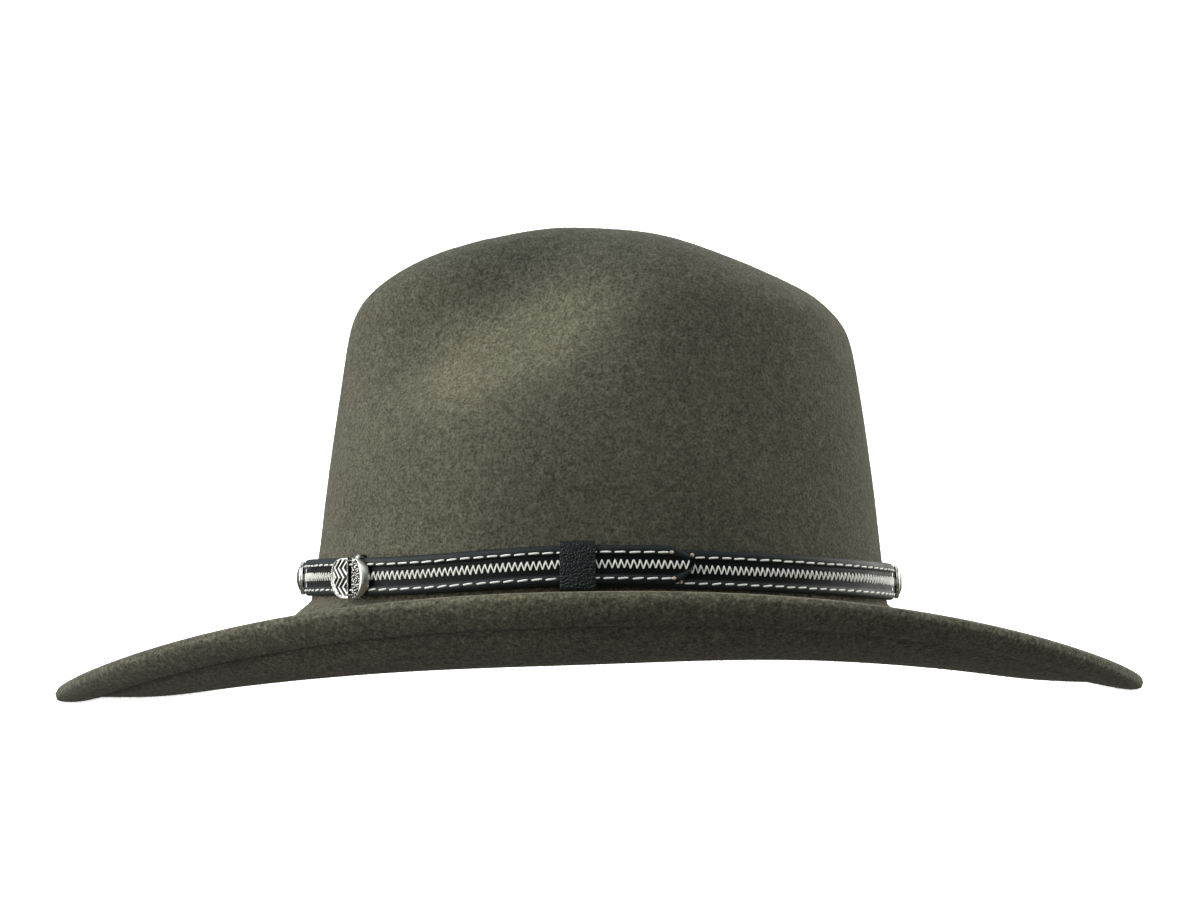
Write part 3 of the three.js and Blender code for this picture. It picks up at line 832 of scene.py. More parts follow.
def repeated(piece, count, pitch):
    """A row of copies along X, joined to the piece."""
    return apply_modifier(
        piece, "ARRAY", fit_type="FIXED_COUNT", count=count, use_relative_offset=False,
        use_constant_offset=True, constant_offset_displace=(pitch, 0.0, 0.0),
    )


def wander(indices, amount, seed):
    """The same small number each run for each copy, from -amount to amount."""
    value = np.sin(indices * 12.9898 + seed * 78.233) * 43758.5453
    return (value - np.floor(value) - 0.5) * 2.0 * amount


class HAT_OT_stitches(bpy.types.Operator):
    """Sew the two rows of long stitches along the strap's borders"""

    bl_idname = "felt_hat.stitches"
    bl_label = "Stitches"

    def row(self, name, settings, place):
        pitch, length = settings.stitch_pitch / MM, settings.stitch_length / MM
        start = travel_at(STRAP_START) + THREAD_START
        end = travel_at(TONGUE["tip"]) - place["end_back"]
        count = int((end - start) / pitch)
        first = end - count * pitch + pitch - length / 2
        stitch, ring, side = tube("stitches_" + name, len(STITCH_RINGS), STITCH_SIDES)
        share, radius, rise = np.array(STITCH_RINGS)[ring].T
        turn = side * 2 * math.pi / STITCH_SIDES
        across = radius * np.sin(turn) * STITCH_SQUASH
        out = rise + radius * np.cos(turn)
        set_coords(stitch, np.stack([share * length, -out, across], axis=-1) * MM)
        facing_out(stitch)
        per_stitch = len(stitch.data.vertices)
        repeated(stitch, count, settings.stitch_pitch)
        places = coords(stitch) / MM
        copy = np.arange(len(places)) // per_stitch
        along = places[:, 0] - copy * pitch
        uneven = {way: wander(copy, *amount) for way, amount in STITCH_WANDER.items()}
        places[:, 2] += along * (place["tilt"] + uneven["tilt"]) + uneven["up"] + place["up"]
        places[:, 1] -= place["out"] + uneven["out"]
        places[:, 0] += first + along * uneven["length"] + uneven["along"]
        set_coords(stitch, places * MM)
        lay_round_crown(stitch)
        smooth(stitch, 60.0)
        return stitch

    def execute(self, context):
        settings = context.scene.strap_settings
        rows = [self.row(name, settings, place) for name, place in STITCH_ROWS.items()]
        material = thread_finish("white_thread", settings.thread_colour)
        finished(join(rows, "border_stitches"), material, "strap_leather")
        return {"FINISHED"}


class HAT_OT_zigzag(bpy.types.Operator):
    """Sew the zigzag of thread down the strap's middle"""

    bl_idname = "felt_hat.zigzag"
    bl_label = "Zigzag"

    def execute(self, context):
        settings = context.scene.strap_settings
        pitch = settings.zigzag_pitch / MM
        start = travel_at(STRAP_START) + THREAD_START
        end = travel_at(TONGUE["tip"]) - ZIGZAG["end_back"]
        count = int((end - start) / pitch)
        thread, ring, side = tube("zigzag_thread", ZIGZAG["rings"], ZIGZAG["sides"])
        share = ring / (ZIGZAG["rings"] - 1)
        stroke = np.mod(share * 2, 1.0)
        stroke[share >= 1.0] = 1.0
        down = share < 0.5
        height = np.where(down, 0.5 - stroke, stroke - 0.5)
        radius = np.where(down, ZIGZAG["radius_down"], ZIGZAG["radius_up"])
        arch = ZIGZAG["arch"] * np.sin(np.pi * stroke) - ZIGZAG["sunk"]
        turn = side * 2 * math.pi / ZIGZAG["sides"]
        x = (share - 0.5) * pitch + radius * np.cos(turn)
        out = arch + radius * np.sin(turn)
        set_coords(thread, np.stack([x, -out, height * ZIGZAG["height"]], axis=-1) * MM)
        facing_out(thread)
        per_copy = len(thread.data.vertices)
        repeated(thread, count, settings.zigzag_pitch)
        places = coords(thread) / MM
        copy = np.arange(len(places)) // per_copy
        uneven = {way: wander(copy, *amount) for way, amount in ZIGZAG_WANDER.items()}
        places[:, 2] *= 1.0 + uneven["height"]
        places[:, 2] += ZIGZAG["up"] + uneven["up"]
        middle = end - (count - copy - 0.5) * pitch - travel_at(BUCKLE_AT)
        dipped = (middle > ZIGZAG_DIP["from"]) & (middle < ZIGZAG_DIP["to"])
        places[:, 1] -= ZIGZAG["out"] - dipped * ZIGZAG_DIP["depth"]
        places[:, 0] += end - count * pitch + uneven["along"]
        set_coords(thread, places * MM)
        lay_round_crown(thread)
        smooth(thread, 60.0)
        material = thread_finish("grey_white_thread", times(settings.thread_colour, 0.97))
        finished(thread, material, "strap_leather")
        return {"FINISHED"}


class HAT_OT_knots(bpy.types.Operator):
    """Melt the thread ends at the tongue's tip into small knots"""

    bl_idname = "felt_hat.knots"
    bl_label = "Thread ends"

    def execute(self, context):
        tip = travel_at(TONGUE["tip"])
        made = []
        for name, place in KNOTS.items():
            nothing_selected()
            layer = STRAP_THICKNESS if place["on_tongue"] else -LAYER_GAP
            out = layer + KNOT["out"]
            bpy.ops.mesh.primitive_ico_sphere_add(
                subdivisions=3, radius=KNOT["radius"] * MM,
                location=((tip - place["back"]) * MM, -out * MM, place["up"] * MM),
            )
            knot = added("knot_" + name)
            bpy.ops.transform.resize(value=KNOT["stretch"])
            bpy.ops.object.transform_apply(location=True, rotation=True, scale=True)
            places = coords(knot) / MM
            waves_along, waves_up = KNOT["waves"]
            bumps = np.sin(places[:, 0] * waves_along) * np.cos(places[:, 2] * waves_up + 1.0) * KNOT["bump"]
            places[:, 1] -= bumps
            places[:, 2] += bumps
            set_coords(knot, places * MM)
            made.append(knot)
        knots = join(made, "thread_ends")
        lay_round_crown(knots)
        smooth(knots, 70.0)
        material = thread_finish("melted_thread", context.scene.strap_settings.knot_colour, glow=0.0)
        finished(knots, material, "strap_leather")
        return {"FINISHED"}


# Loops
# The torus that a loop is bent from
RING_RADIUS = 10.0
RING_WALL = 2.0
# The straight sides and corners of a loop in order: whether each lies up or down, and out or in
PATH_SIDES = [(0, 1), (1, 1), (1, 0), (1, -1), (0, -1), (-1, -1), (-1, 0), (-1, 1)]


def bent_ring(name, around, across):
    """A torus to bend into a loop, and each vertex's angle round the loop and round its wall."""
    nothing_selected()
    bpy.ops.mesh.primitive_torus_add(
        major_radius=RING_RADIUS * MM, minor_radius=RING_WALL * MM,
        major_segments=around, minor_segments=across,
    )
    piece = added(name)
    places = coords(piece)
    reach = np.hypot(places[:, 0], places[:, 1]) - RING_RADIUS * MM
    return piece, np.arctan2(places[:, 1], places[:, 0]), np.arctan2(places[:, 2], reach)


def rounded_path(turn, half_up, half_out, corner):
    """Places round a rounded rectangle and the direction out of it at each, for angles spread evenly."""
    straight_up, straight_out = 2 * (half_up - corner), 2 * (half_out - corner)
    bend = math.pi / 2 * corner
    lengths = [straight_up, bend, straight_out, bend, straight_up, bend, straight_out, bend]
    marks = np.concatenate([[0.0], np.cumsum(lengths)])
    at = np.mod(turn, 2 * math.pi) / (2 * math.pi) * marks[-1]
    stretch = np.clip(np.searchsorted(marks, at, side="right") - 1, 0, len(lengths) - 1)
    within = at - marks[stretch]
    up, out = np.zeros_like(at), np.zeros_like(at)
    face_up, face_out = np.zeros_like(at), np.zeros_like(at)
    for index, (side_up, side_out) in enumerate(PATH_SIDES):
        here = stretch == index
        done = within[here]
        if side_up == 0:
            up[here], out[here] = side_out * (done - straight_up / 2), side_out * half_out
            face_out[here] = side_out
        elif side_out == 0:
            up[here], out[here] = side_up * half_up, -side_up * (done - straight_out / 2)
            face_up[here] = side_up
        else:
            angle = math.pi / 2 - (index - 1) / 4 * math.pi - done / corner
            face_up[here], face_out[here] = np.cos(angle), np.sin(angle)
            up[here] = side_up * (half_up - corner) + corner * np.cos(angle)
            out[here] = side_out * (half_out - corner) + corner * np.sin(angle)
    return up, out, face_up, face_out


def loop_places(shape, turn):
    """Where a loop's wall runs: its places up and out, the direction out of it and its level, -1 to 1."""
    half_up, half_out = (shape["high"] - shape["low"]) / 2, (shape["outer"] - shape["inner"]) / 2
    up, out, face_up, face_out = rounded_path(turn, half_up, half_out, shape["corner"])
    middle_up, middle_out = (shape["low"] + shape["high"]) / 2, (shape["inner"] + shape["outer"]) / 2
    return middle_up + up, middle_out + out, face_up, face_out, up / half_up


# Keeper
KEEPER = {
    "length": 11.6, "low": -0.75, "high": 15.25, "inner": -0.75, "outer": 5.65, "wall": 0.9, "corner": 1.2,
    "squareness": 0.35, "pillow": 0.22, "around": 96, "across": 20,
}


class HAT_OT_keeper(bpy.types.Operator):
    """Model the pebbled loop that holds the tongue down"""

    bl_idname = "felt_hat.keeper"
    bl_label = "Keeper loop"

    def execute(self, context):
        keeper, turn, wall_turn = bent_ring("keeper_loop", KEEPER["around"], KEEPER["across"])
        up, out, face_up, face_out, level = loop_places(KEEPER, turn)
        wall = self.squared(np.cos(wall_turn)) * KEEPER["wall"] / 2
        along = self.squared(np.sin(wall_turn)) * KEEPER["length"] / 2
        pillow = KEEPER["pillow"] * (1.0 - level ** 2) * (out > (KEEPER["inner"] + KEEPER["outer"]) / 2)
        up_place = up + face_up * wall
        out_place = out + face_out * wall + pillow
        x = travel_at(KEEPER_AT) + along
        set_coords(keeper, np.stack([x, -out_place, up_place], axis=-1) * MM)
        facing_out(keeper)
        subdivided(keeper, 1)
        lay_round_crown(keeper, lifted=False)
        smooth(keeper, 60.0)
        material = pebbled_finish(context.scene.strap_settings)
        finished(keeper, material, "strap_leather", "strap_keeper")
        return {"FINISHED"}

    def squared(self, wave):
        """Turns a round section nearly square."""
        return np.sign(wave) * np.abs(wave) ** KEEPER["squareness"]


# Buckle
# Each half of the frame runs from its straight inner edge to its curved outer edge. Its height rows are the
# share of the way from the inner to the outer edge and how far the face stands out there.
BUCKLE_MIDDLE = STRAP_HEIGHT / 2 - 0.4
BUCKLE_FLOOR = STRAP_THICKNESS + 0.3
BUCKLE_HALVES = {
    "ribbed": {
        "inner": 0.9, "end": -2.4, "outer": -8.9, "half_height": 6.9,
        "rows": [(0.0, 0.35), (0.04, 0.75), (0.10, 0.95), (0.45, 1.50), (0.74, 1.85), (0.78, 1.82),
                 (0.82, 2.20), (0.90, 2.35), (0.96, 2.1), (1.0, 1.2)],
    },
    "domed": {
        "inner": 3.8, "end": 4.6, "outer": 11.3, "half_height": 6.9,
        "rows": [(0.0, 1.30), (0.05, 1.75), (0.12, 1.90), (0.40, 2.15), (0.64, 2.35), (0.69, 2.70),
                 (0.78, 2.72), (0.88, 2.3), (0.95, 1.6), (1.0, 0.7)],
    },
}
BUCKLE_GRID = (54, 104)
# A half thins towards its two ends: the face's least height, what is left of the rest at the ends, and how
# suddenly it thins
THINNED = {"least": 0.35, "left": 0.45, "power": 3.2}
HERRINGBONE = {
    "pitch": 2.2, "swing": 2.6, "rise": 6.6, "depth": 0.50, "phase": 0.6, "line": 0.54, "edge": 4.5,
}
# Where the ribbed half is cut and where its grained ribbon lies, as shares of the way from its inner to its
# outer edge and of its half height, and the ribbon's grain: its size and how far it rises
RIBBED = {
    "cut_from": 0.03, "cut_to": 0.78, "cut_up": 0.93, "ribbon_from": 0.76, "ribbon_to": 0.90, "grain": 0.62,
    "rise": 0.18,
}
# The same for the domed half's grain, which ends at a dark line
DOMED = {"from": 0.02, "to": 0.68, "line": 0.675, "grain": 0.75, "narrow": 0.8, "rise": 0.42, "sunk": 0.12}
# Each ball: its place along the strap from the buckle and up from its middle, and its radius
BUCKLE_BALLS = [(-4.3, 6.0, 0.85), (-3.0, -6.2, 0.75), (4.6, 5.9, 0.95), (5.2, -6.2, 0.85)]
BALL = {"out": 0.75, "stretch": (1.25, 0.85, 0.8)}
SIDE_BAR = {"from": -3.8, "to": 5.0, "up": 5.9, "radius": 0.36, "out": 0.36, "rings": 8, "sides": 12}
HEEL = {
    "from": 4.6, "to": 6.6, "low": -0.75, "high": 13.95, "inner": 1.85, "outer": 5.65, "wall": 0.9,
    "corner": 1.0, "around": 64, "across": 12,
}


def soft_edge(distance, steepness):
    """0 before an edge, 1 past it and a slope between."""
    return np.clip(distance * steepness, 0.0, 1.0)


def cell_grain(x, y, size):
    """A bumpy grain: near 1 in the middle of each uneven cell, and 0 between them."""
    column, row = np.floor(x / size), np.floor(y / size)
    nearest = np.full(np.shape(x), 9.0)
    for step_x in (-1, 0, 1):
        for step_y in (-1, 0, 1):
            seed = (column + step_x) * 57.0 + (row + step_y) * 131.0
            at_x = (column + step_x + 0.5 + wander(seed, 0.38, 11)) * size
            at_y = (row + step_y + 0.5 + wander(seed, 0.38, 12)) * size
            nearest = np.minimum(nearest, np.hypot(x - at_x, y - at_y) / size)
    return np.clip(1.0 - nearest * 1.5, 0.0, 1.0)


class HAT_OT_buckle(bpy.types.Operator):
    """Model the engraved silver buckle"""

    bl_idname = "felt_hat.buckle"
    bl_label = "Buckle"

    def half(self, name, shape):
        nothing_selected()
        columns, lines = BUCKLE_GRID
        bpy.ops.mesh.primitive_grid_add(x_subdivisions=columns, y_subdivisions=lines, size=2.0)
        plate = added("buckle_" + name)
        bpy.ops.object.mode_set(mode="EDIT")
        bpy.ops.mesh.select_all(action="SELECT")
        bpy.ops.mesh.extrude_region_move(TRANSFORM_OT_translate={"value": (0.0, 0.0, 1.0)})
        bpy.ops.object.mode_set(mode="OBJECT")
        flat = coords(plate)
        share, level = (flat[:, 0] + 1) / 2, flat[:, 1]
        curve = np.sqrt(np.clip(1.0 - level * level, 0.0, 1.0))
        outer = shape["end"] + (shape["outer"] - shape["end"]) * curve
        along = shape["inner"] + (outer - shape["inner"]) * share
        up = level * shape["half_height"]
        rows = np.array(shape["rows"])
        thinning = THINNED["left"] + (1.0 - THINNED["left"]) * (1.0 - np.abs(level) ** THINNED["power"])
        full = np.interp(share, rows[:, 0], rows[:, 1])
        height = THINNED["least"] + (full - THINNED["least"]) * thinning
        top = flat[:, 2] > 0.5
        if name == "ribbed":
            relief, dark = self.herringbone(share, level, along, up)
        else:
            relief, dark = self.dome(share, along, up)
        out = np.where(top, BUCKLE_FLOOR + height + relief, BUCKLE_FLOOR)
        # Painted shade along each half's inner edge, beside the opening
        inner_edge_shade = soft_edge(0.02 - share, 60)
        set_coords(plate, np.stack([travel_at(BUCKLE_AT) + along, -out, BUCKLE_MIDDLE + up], axis=-1) * MM)
        facing_out(plate)
        # On the face: patina in the cuts and grain, and painted shade at the inner edge; the plate's walls
        # and back get painted shade
        note_amounts(plate, "patina_and_shade", np.where(top, np.maximum(dark, inner_edge_shade * 0.6), 0.9))
        return plate

    def herringbone(self, share, level, along, up):
        """How far the ribbed half's cuts and ribbon rise, and how dark they are."""
        swing = 2 * np.abs(np.mod(up / HERRINGBONE["rise"], 1.0) - 0.5)
        phase = (along - HERRINGBONE["swing"] * swing) / HERRINGBONE["pitch"] + HERRINGBONE["phase"]
        wave = 0.5 + 0.5 * np.cos(2 * math.pi * phase)
        ridge = soft_edge(wave - HERRINGBONE["line"], HERRINGBONE["edge"])
        inside = soft_edge(RIBBED["cut_to"] - share, 14) * soft_edge(share - RIBBED["cut_from"], 25)
        inside *= soft_edge(RIBBED["cut_up"] - np.abs(level), 14)
        ribbon = soft_edge(RIBBED["ribbon_to"] - share, 20) * soft_edge(share - RIBBED["ribbon_from"], 14)
        grain = cell_grain(along, up, RIBBED["grain"]) * ribbon
        cut = (1.0 - ridge) * inside
        on_ribbon = (share > RIBBED["cut_to"]) & (share < RIBBED["ribbon_to"])
        dark = cut + (1 - grain) * 0.6 * on_ribbon
        return RIBBED["rise"] * grain - HERRINGBONE["depth"] * cut, dark

    def dome(self, share, along, up):
        """How far the domed half's grain rises, and how dark the grain and the line past it are."""
        zone = soft_edge(DOMED["to"] - share, 14) * soft_edge(share - DOMED["from"], 20)
        grain = cell_grain(along, up * DOMED["narrow"], DOMED["grain"])
        line = soft_edge(1 / 40 - np.abs(share - DOMED["line"]), 40)
        dark = np.maximum(zone * (1.0 - grain) * 0.95, line * 0.8)
        return zone * (DOMED["rise"] * grain - DOMED["sunk"]), dark

    def ball(self, place):
        along, up, radius = place
        nothing_selected()
        out = BUCKLE_FLOOR + BALL["out"]
        at = ((travel_at(BUCKLE_AT) + along) * MM, -out * MM, (BUCKLE_MIDDLE + up) * MM)
        bpy.ops.mesh.primitive_uv_sphere_add(segments=20, ring_count=12, radius=radius * MM, location=at)
        ball = added("buckle_ball")
        bpy.ops.transform.resize(value=BALL["stretch"])
        bpy.ops.object.transform_apply(location=True, rotation=True, scale=True)
        note_amounts(ball, "patina_and_shade", np.zeros(len(ball.data.vertices)))
        return ball

    def side_bar(self, side):
        bar, ring, around = tube("buckle_side", SIDE_BAR["rings"], SIDE_BAR["sides"])
        turn = around * 2 * math.pi / SIDE_BAR["sides"]
        share = ring / (SIDE_BAR["rings"] - 1)
        x = travel_at(BUCKLE_AT) + SIDE_BAR["from"] + (SIDE_BAR["to"] - SIDE_BAR["from"]) * share
        up = BUCKLE_MIDDLE + side * SIDE_BAR["up"] + SIDE_BAR["radius"] * np.sin(turn)
        out = BUCKLE_FLOOR + SIDE_BAR["out"] + SIDE_BAR["radius"] * np.cos(turn)
        set_coords(bar, np.stack([x, -out, up], axis=-1) * MM)
        facing_out(bar)
        # Painted shade: the side bars are darkened
        note_amounts(bar, "patina_and_shade", np.full(len(bar.data.vertices), 0.6))
        return bar

    def heel(self):
        heel, turn, wall_turn = bent_ring("buckle_heel", HEEL["around"], HEEL["across"])
        up, out, face_up, face_out, _ = loop_places(HEEL, turn)
        wall = np.cos(wall_turn) * HEEL["wall"] / 2
        along = (HEEL["from"] + HEEL["to"]) / 2 + np.sin(wall_turn) * (HEEL["to"] - HEEL["from"]) / 2
        x = travel_at(BUCKLE_AT) + along
        set_coords(heel, np.stack([x, -(out + face_out * wall), up + face_up * wall], axis=-1) * MM)
        facing_out(heel)
        # Painted shade: the heel under the frame is darkened
        note_amounts(heel, "patina_and_shade", np.full(len(heel.data.vertices), 0.3))
        return heel

    def execute(self, context):
        front = [self.half(name, shape) for name, shape in BUCKLE_HALVES.items()]
        front += [self.ball(place) for place in BUCKLE_BALLS]
        front += [self.side_bar(side) for side in (-1, 1)]
        face = join(front, "buckle_face")
        lay_round_crown(face)
        heel = self.heel()
        lay_round_crown(heel, lifted=False)
        buckle = join([face, heel], "silver_buckle")
        smooth(buckle, 55.0)
        finished(buckle, silver_finish(context.scene.strap_settings), "cast_silver", "buckle")
        return {"FINISHED"}


# Conchos
# The setting's outline: how far from the middle and how far out. A stone's ring also has its turn in degrees
SETTING_OUTLINE = [
    (5.75, 0.0), (6.12, 0.30), (6.15, 0.62), (6.02, 0.72), (6.02, 0.82), (6.15, 0.92), (6.15, 1.28),
    (5.98, 1.52), (5.70, 1.58), (5.42, 1.45), (5.30, 1.20), (5.26, 0.62),
]
STONE_RINGS = [(5.05, 0.75, 0.0), (5.05, 1.30, 0.0), (4.30, 2.15, 15.0), (2.55, 2.85, 0.0)]
STONE_SIDES = 12
STONE_BEVEL = 0.07
CONCHO_SIDES = 72
# The rope cut round the rim: past what reach it lies, how deep it is, how many turns it has and its slant
ROPE = {"past": 5.9, "depth": 0.06, "turns": 24, "slant": 3.0}
# The tarnished places: the dish within this reach, and the groove between these heights
TARNISH = {"dish": 5.45, "low": 0.65, "high": 0.9}


def ring_stack(name, outline, sides):
    """A turned form that is drawn up ring by ring from a filled circle, about Z."""
    nothing_selected()
    reach, height = outline[0]
    bpy.ops.mesh.primitive_circle_add(
        vertices=sides, radius=reach * MM, fill_type="NGON", location=(0.0, 0.0, height * MM)
    )
    piece = added(name)
    bpy.ops.object.transform_apply(location=True, rotation=False, scale=False)
    bpy.ops.object.mode_set(mode="EDIT")
    bpy.ops.mesh.select_all(action="SELECT")
    for next_reach, next_height in outline[1:]:
        rise = (0.0, 0.0, (next_height - height) * MM)
        bpy.ops.mesh.extrude_region_move(TRANSFORM_OT_translate={"value": rise})
        grow = next_reach / reach
        bpy.ops.transform.resize(value=(grow, grow, 1.0), center_override=(0.0, 0.0, 0.0))
        reach, height = next_reach, next_height
    bpy.ops.object.mode_set(mode="OBJECT")
    return piece


class HAT_OT_conchos(bpy.types.Operator):
    """Model the two silver conchos and their cut black stones"""

    bl_idname = "felt_hat.conchos"
    bl_label = "Conchos"

    def setting(self, name):
        setting = ring_stack(name + "_setting_cup", SETTING_OUTLINE, CONCHO_SIDES)
        places = coords(setting) / MM
        reach = np.hypot(places[:, 0], places[:, 1])
        turn = np.arctan2(places[:, 1], places[:, 0])
        on_rope = reach > ROPE["past"]
        rope = np.where(on_rope, np.cos(ROPE["turns"] * turn + places[:, 2] * ROPE["slant"]), 0.0)
        rim = max(row[0] for row in SETTING_OUTLINE)
        in_groove = (places[:, 2] > TARNISH["low"]) & (places[:, 2] < TARNISH["high"])
        places[:, :2] *= (1.0 + (rope - 1.0) * ROPE["depth"] / rim)[:, None]
        dark = np.where((reach < TARNISH["dish"]) | in_groove, 0.9, 0.0)
        dark = np.maximum(dark, np.clip(-rope, 0.0, 1.0) * 0.6)
        set_coords(setting, places * MM)
        facing_out(setting)
        note_amounts(setting, "patina_and_shade", dark)
        subdivided(setting, 1)
        smooth(setting, 60.0)
        return setting

    def stone(self, name):
        nothing_selected()
        stone = ring_stack(name + "_stone_cut", [row[:2] for row in STONE_RINGS], STONE_SIDES)
        only(stone)
        bpy.ops.object.mode_set(mode="EDIT")
        mesh = bmesh.from_edit_mesh(stone.data)
        for (ring_reach, ring_height, turn) in STONE_RINGS:
            for corner in mesh.verts:
                on_height = abs(corner.co.z / MM - ring_height) < 0.01
                on_ring = on_height and abs(corner.co.xy.length / MM - ring_reach) < 0.3
                corner.select_set(on_ring and turn != 0.0)
            mesh.select_flush(True)
            bmesh.update_edit_mesh(stone.data)
            if turn:
                bpy.ops.transform.rotate(
                    value=math.radians(turn), orient_axis="Z", center_override=(0.0, 0.0, 0.0)
                )
        bpy.ops.mesh.select_all(action="SELECT")
        bpy.ops.mesh.quads_convert_to_tris(quad_method="SHORTEST_DIAGONAL", ngon_method="BEAUTY")
        bpy.ops.object.mode_set(mode="OBJECT")
        facing_out(stone)
        apply_modifier(
            stone, "BEVEL", width=STONE_BEVEL * MM, segments=2, limit_method="ANGLE",
            angle_limit=math.radians(8),
        )
        smooth(stone, 7.0)
        return stone

    def place(self, piece, degrees):
        """Turns a piece that was modelled facing up to face out of the strap, at the strap's middle."""
        middle = crown_points(np.array(float(degrees)), STRAP_HEIGHT / 2, STRAP_THICKNESS + 0.3) * MM
        only(piece)
        outwards = Vector((math.cos(math.radians(degrees)), math.sin(math.radians(degrees)), 0.0))
        turn = outwards.to_track_quat("Z", "Y").to_matrix().to_4x4()
        piece.matrix_world = Matrix.Translation(Vector(middle)) @ turn
        bpy.ops.object.transform_apply(location=True, rotation=True, scale=True)

    def execute(self, context):
        silver = bpy.data.materials.get("cast_silver") or silver_finish(context.scene.strap_settings)
        black = stone_finish(context.scene.strap_settings)
        for name, degrees in (("front", FRONT), ("back", BACK)):
            setting, stone = self.setting(name), self.stone(name)
            self.place(setting, degrees)
            self.place(stone, degrees)
            finished(setting, silver, "cast_silver", name + "_concho_setting")
            finished(stone, black, "black_stone", name + "_concho_stone")
        return {"FINISHED"}


# Stage
STAGE_RADIUS = 4.0
COVE_RADIUS = 1.2
COVE_SIDES = 96
COVE_STEPS = 12
WALL_HEIGHT = 4.5
SENSOR_WIDTH = 36.0
# The light tent: broad soft lights far from the hat. The azimuth goes from the camera towards the left
TENT_AMBIENT = (0.14, 0.14, 0.14)
TENT_SHARPNESS = 10.0
TENT = [
    {"azimuth": 70, "elevation": 15, "strength": 4.90, "tint": (1.00, 0.99, 0.93)},
    {"azimuth": 70, "elevation": 45, "strength": 1.30, "tint": (0.98, 0.97, 1.00)},
    {"azimuth": 100, "elevation": 15, "strength": 2.10, "tint": (0.92, 1.00, 1.02)},
    {"azimuth": 0, "elevation": 50, "strength": 1.62, "tint": (0.86, 1.00, 1.02)},
    {"azimuth": -90, "elevation": 15, "strength": 0.90, "tint": (0.94, 1.00, 1.00)},
    {"azimuth": -120, "elevation": 15, "strength": 5.50, "tint": (1.00, 0.98, 0.90)},
    {"azimuth": 180, "elevation": 50, "strength": 1.30, "tint": (1.00, 1.00, 1.00)},
]


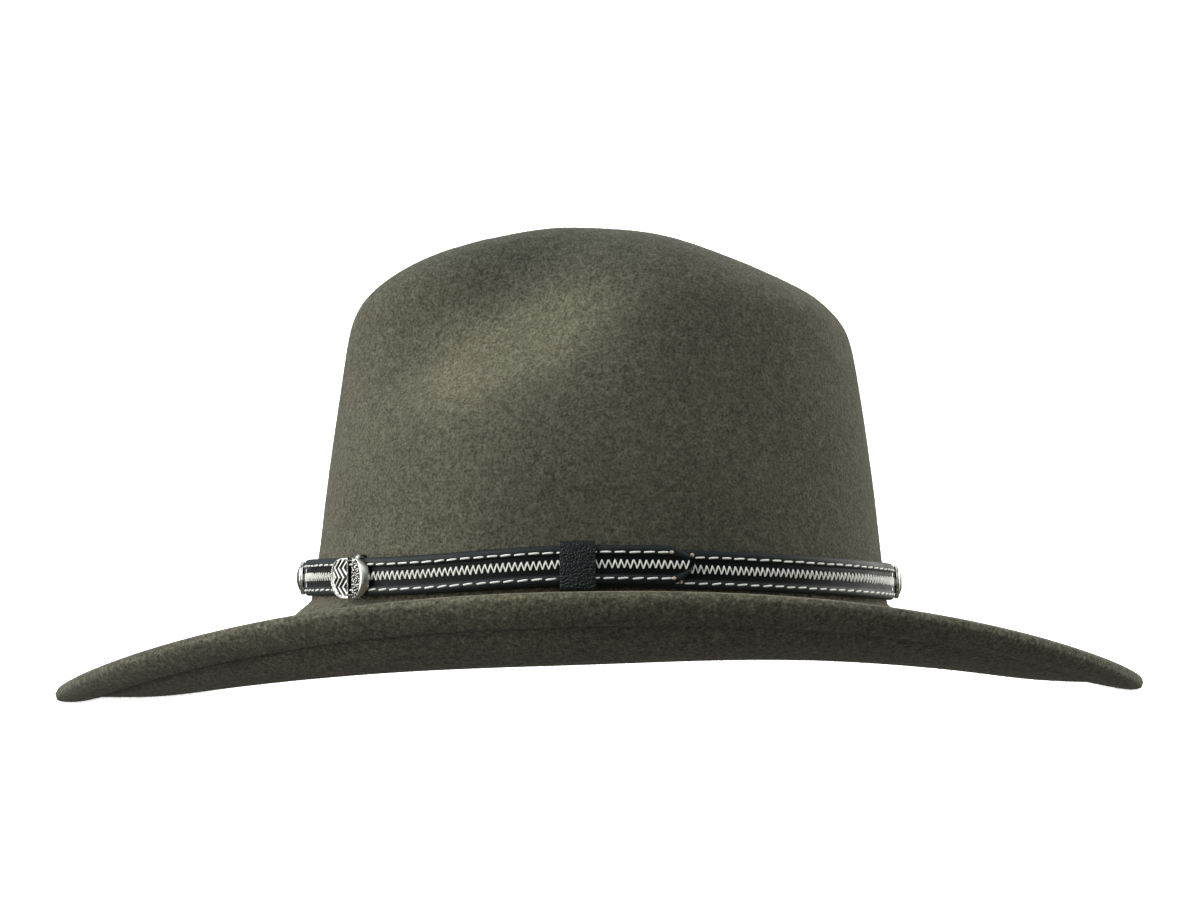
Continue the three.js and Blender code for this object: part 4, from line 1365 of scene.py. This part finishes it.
class HAT_OT_stage(bpy.types.Operator):
    """Build the white cove, the soft lights and the camera"""

    bl_idname = "felt_hat.stage"
    bl_label = "Stage"

    def execute(self, context):
        settings = context.scene.stage_settings
        self.backdrop(context, settings)
        self.lights(context, settings)
        self.camera(context, settings)
        context.scene.view_settings.view_transform = "Standard"
        return {"FINISHED"}

    def backdrop(self, context, settings):
        nothing_selected()
        inner = STAGE_RADIUS - COVE_RADIUS
        bpy.ops.mesh.primitive_circle_add(vertices=COVE_SIDES, radius=inner, fill_type="NGON")
        floor = added("white_cove")
        bpy.ops.object.mode_set(mode="EDIT")
        bpy.ops.mesh.select_mode(type="EDGE")
        bpy.ops.mesh.select_all(action="SELECT")
        bpy.ops.mesh.region_to_loop()
        reach, height = inner, 0.0
        for step in range(1, COVE_STEPS + 1):
            turn = math.pi / 2 * step / COVE_STEPS
            new_reach = inner + COVE_RADIUS * math.sin(turn)
            new_height = COVE_RADIUS * (1.0 - math.cos(turn))
            rise = (0.0, 0.0, new_height - height)
            bpy.ops.mesh.extrude_edges_move(TRANSFORM_OT_translate={"value": rise})
            grow = new_reach / reach
            bpy.ops.transform.resize(value=(grow, grow, 1.0), center_override=(0.0, 0.0, 0.0))
            reach, height = new_reach, new_height
        bpy.ops.mesh.extrude_edges_move(TRANSFORM_OT_translate={"value": (0.0, 0.0, WALL_HEIGHT)})
        bpy.ops.mesh.select_all(action="SELECT")
        bpy.ops.mesh.normals_make_consistent(inside=True)
        bpy.ops.object.mode_set(mode="OBJECT")
        bpy.ops.object.shade_smooth()
        floor.data.materials.append(backdrop_finish(settings))
        floor.visible_diffuse = False
        floor.visible_glossy = False
        floor.visible_shadow = False

    def lights(self, context, settings):
        world = bpy.data.worlds.new("soft_tent")
        world.use_nodes = True
        nodes = Nodes(world.node_tree)
        sky = nodes.tree.nodes["Background"]
        direction = nodes.node("ShaderNodeTexCoord").outputs["Generated"]
        total = TENT_AMBIENT
        for light in TENT:
            azimuth, elevation = math.radians(light["azimuth"]), math.radians(light["elevation"])
            flat = math.cos(elevation)
            towards = nodes.node("ShaderNodeVectorMath", operation="DOT_PRODUCT")
            towards.inputs[1].default_value = (
                -math.sin(azimuth) * flat, -math.cos(azimuth) * flat, math.sin(elevation)
            )
            nodes.link(direction, towards.inputs[0])
            facing = nodes.math("MAXIMUM", towards.outputs["Value"], 0.0)
            falloff = nodes.math("POWER", facing, TENT_SHARPNESS)
            level = light["strength"] * settings.sky
            total = nodes.mix(falloff, total, tuple(level * tint for tint in light["tint"]), "ADD")
        nodes.link(total, sky.inputs["Color"])
        sky.inputs["Strength"].default_value = 1.0
        context.scene.world = world

    def camera(self, context, settings):
        nothing_selected()
        place = (settings.camera_aside, -settings.camera_distance, settings.camera_height)
        bpy.ops.object.camera_add(location=place)
        camera = context.object
        camera.name = "photo_camera"
        camera.data.sensor_width = SENSOR_WIDTH
        camera.data.lens = settings.lens
        look = Matrix.Rotation(math.pi / 2 + settings.camera_pitch, 4, "X")
        camera.rotation_euler = (look @ Matrix.Rotation(-settings.camera_roll, 4, "Z")).to_euler()
        context.scene.camera = camera


# Sidebar
class HAT_PT_panel(bpy.types.Panel):
    bl_label = "Felt hat"
    bl_idname = "HAT_PT_panel"
    bl_space_type = "VIEW_3D"
    bl_region_type = "UI"
    bl_category = "Felt hat"

    def draw(self, context):
        scene = context.scene
        for heading, settings in (
            ("Felt", scene.felt_settings), ("Strap", scene.strap_settings), ("Stage", scene.stage_settings),
        ):
            box = self.layout.box()
            box.label(text=heading)
            for name in settings.__annotations__:
                box.prop(settings, name)
        for step in STEPS:
            self.layout.operator(step.bl_idname)


SETTINGS = (FeltSettings, StrapSettings, StageSettings)
STEPS = (
    HAT_OT_felt, HAT_OT_nap, HAT_OT_strap, HAT_OT_stitches, HAT_OT_zigzag, HAT_OT_knots, HAT_OT_keeper,
    HAT_OT_buckle, HAT_OT_conchos, HAT_OT_stage,
)


def register():
    for kind in (*SETTINGS, *STEPS, HAT_PT_panel):
        bpy.utils.register_class(kind)
    bpy.types.Scene.felt_settings = bpy.props.PointerProperty(type=FeltSettings)
    bpy.types.Scene.strap_settings = bpy.props.PointerProperty(type=StrapSettings)
    bpy.types.Scene.stage_settings = bpy.props.PointerProperty(type=StageSettings)


def unregister():
    del bpy.types.Scene.stage_settings
    del bpy.types.Scene.strap_settings
    del bpy.types.Scene.felt_settings
    for kind in reversed((*SETTINGS, *STEPS, HAT_PT_panel)):
        bpy.utils.unregister_class(kind)


def main():
    register()
    bpy.ops.felt_hat.felt()
    bpy.ops.felt_hat.nap()
    bpy.ops.felt_hat.strap()
    bpy.ops.felt_hat.stitches()
    bpy.ops.felt_hat.zigzag()
    bpy.ops.felt_hat.knots()
    bpy.ops.felt_hat.keeper()
    bpy.ops.felt_hat.buckle()
    bpy.ops.felt_hat.conchos()
    bpy.ops.felt_hat.stage()


if __name__ == "__main__":
    main()
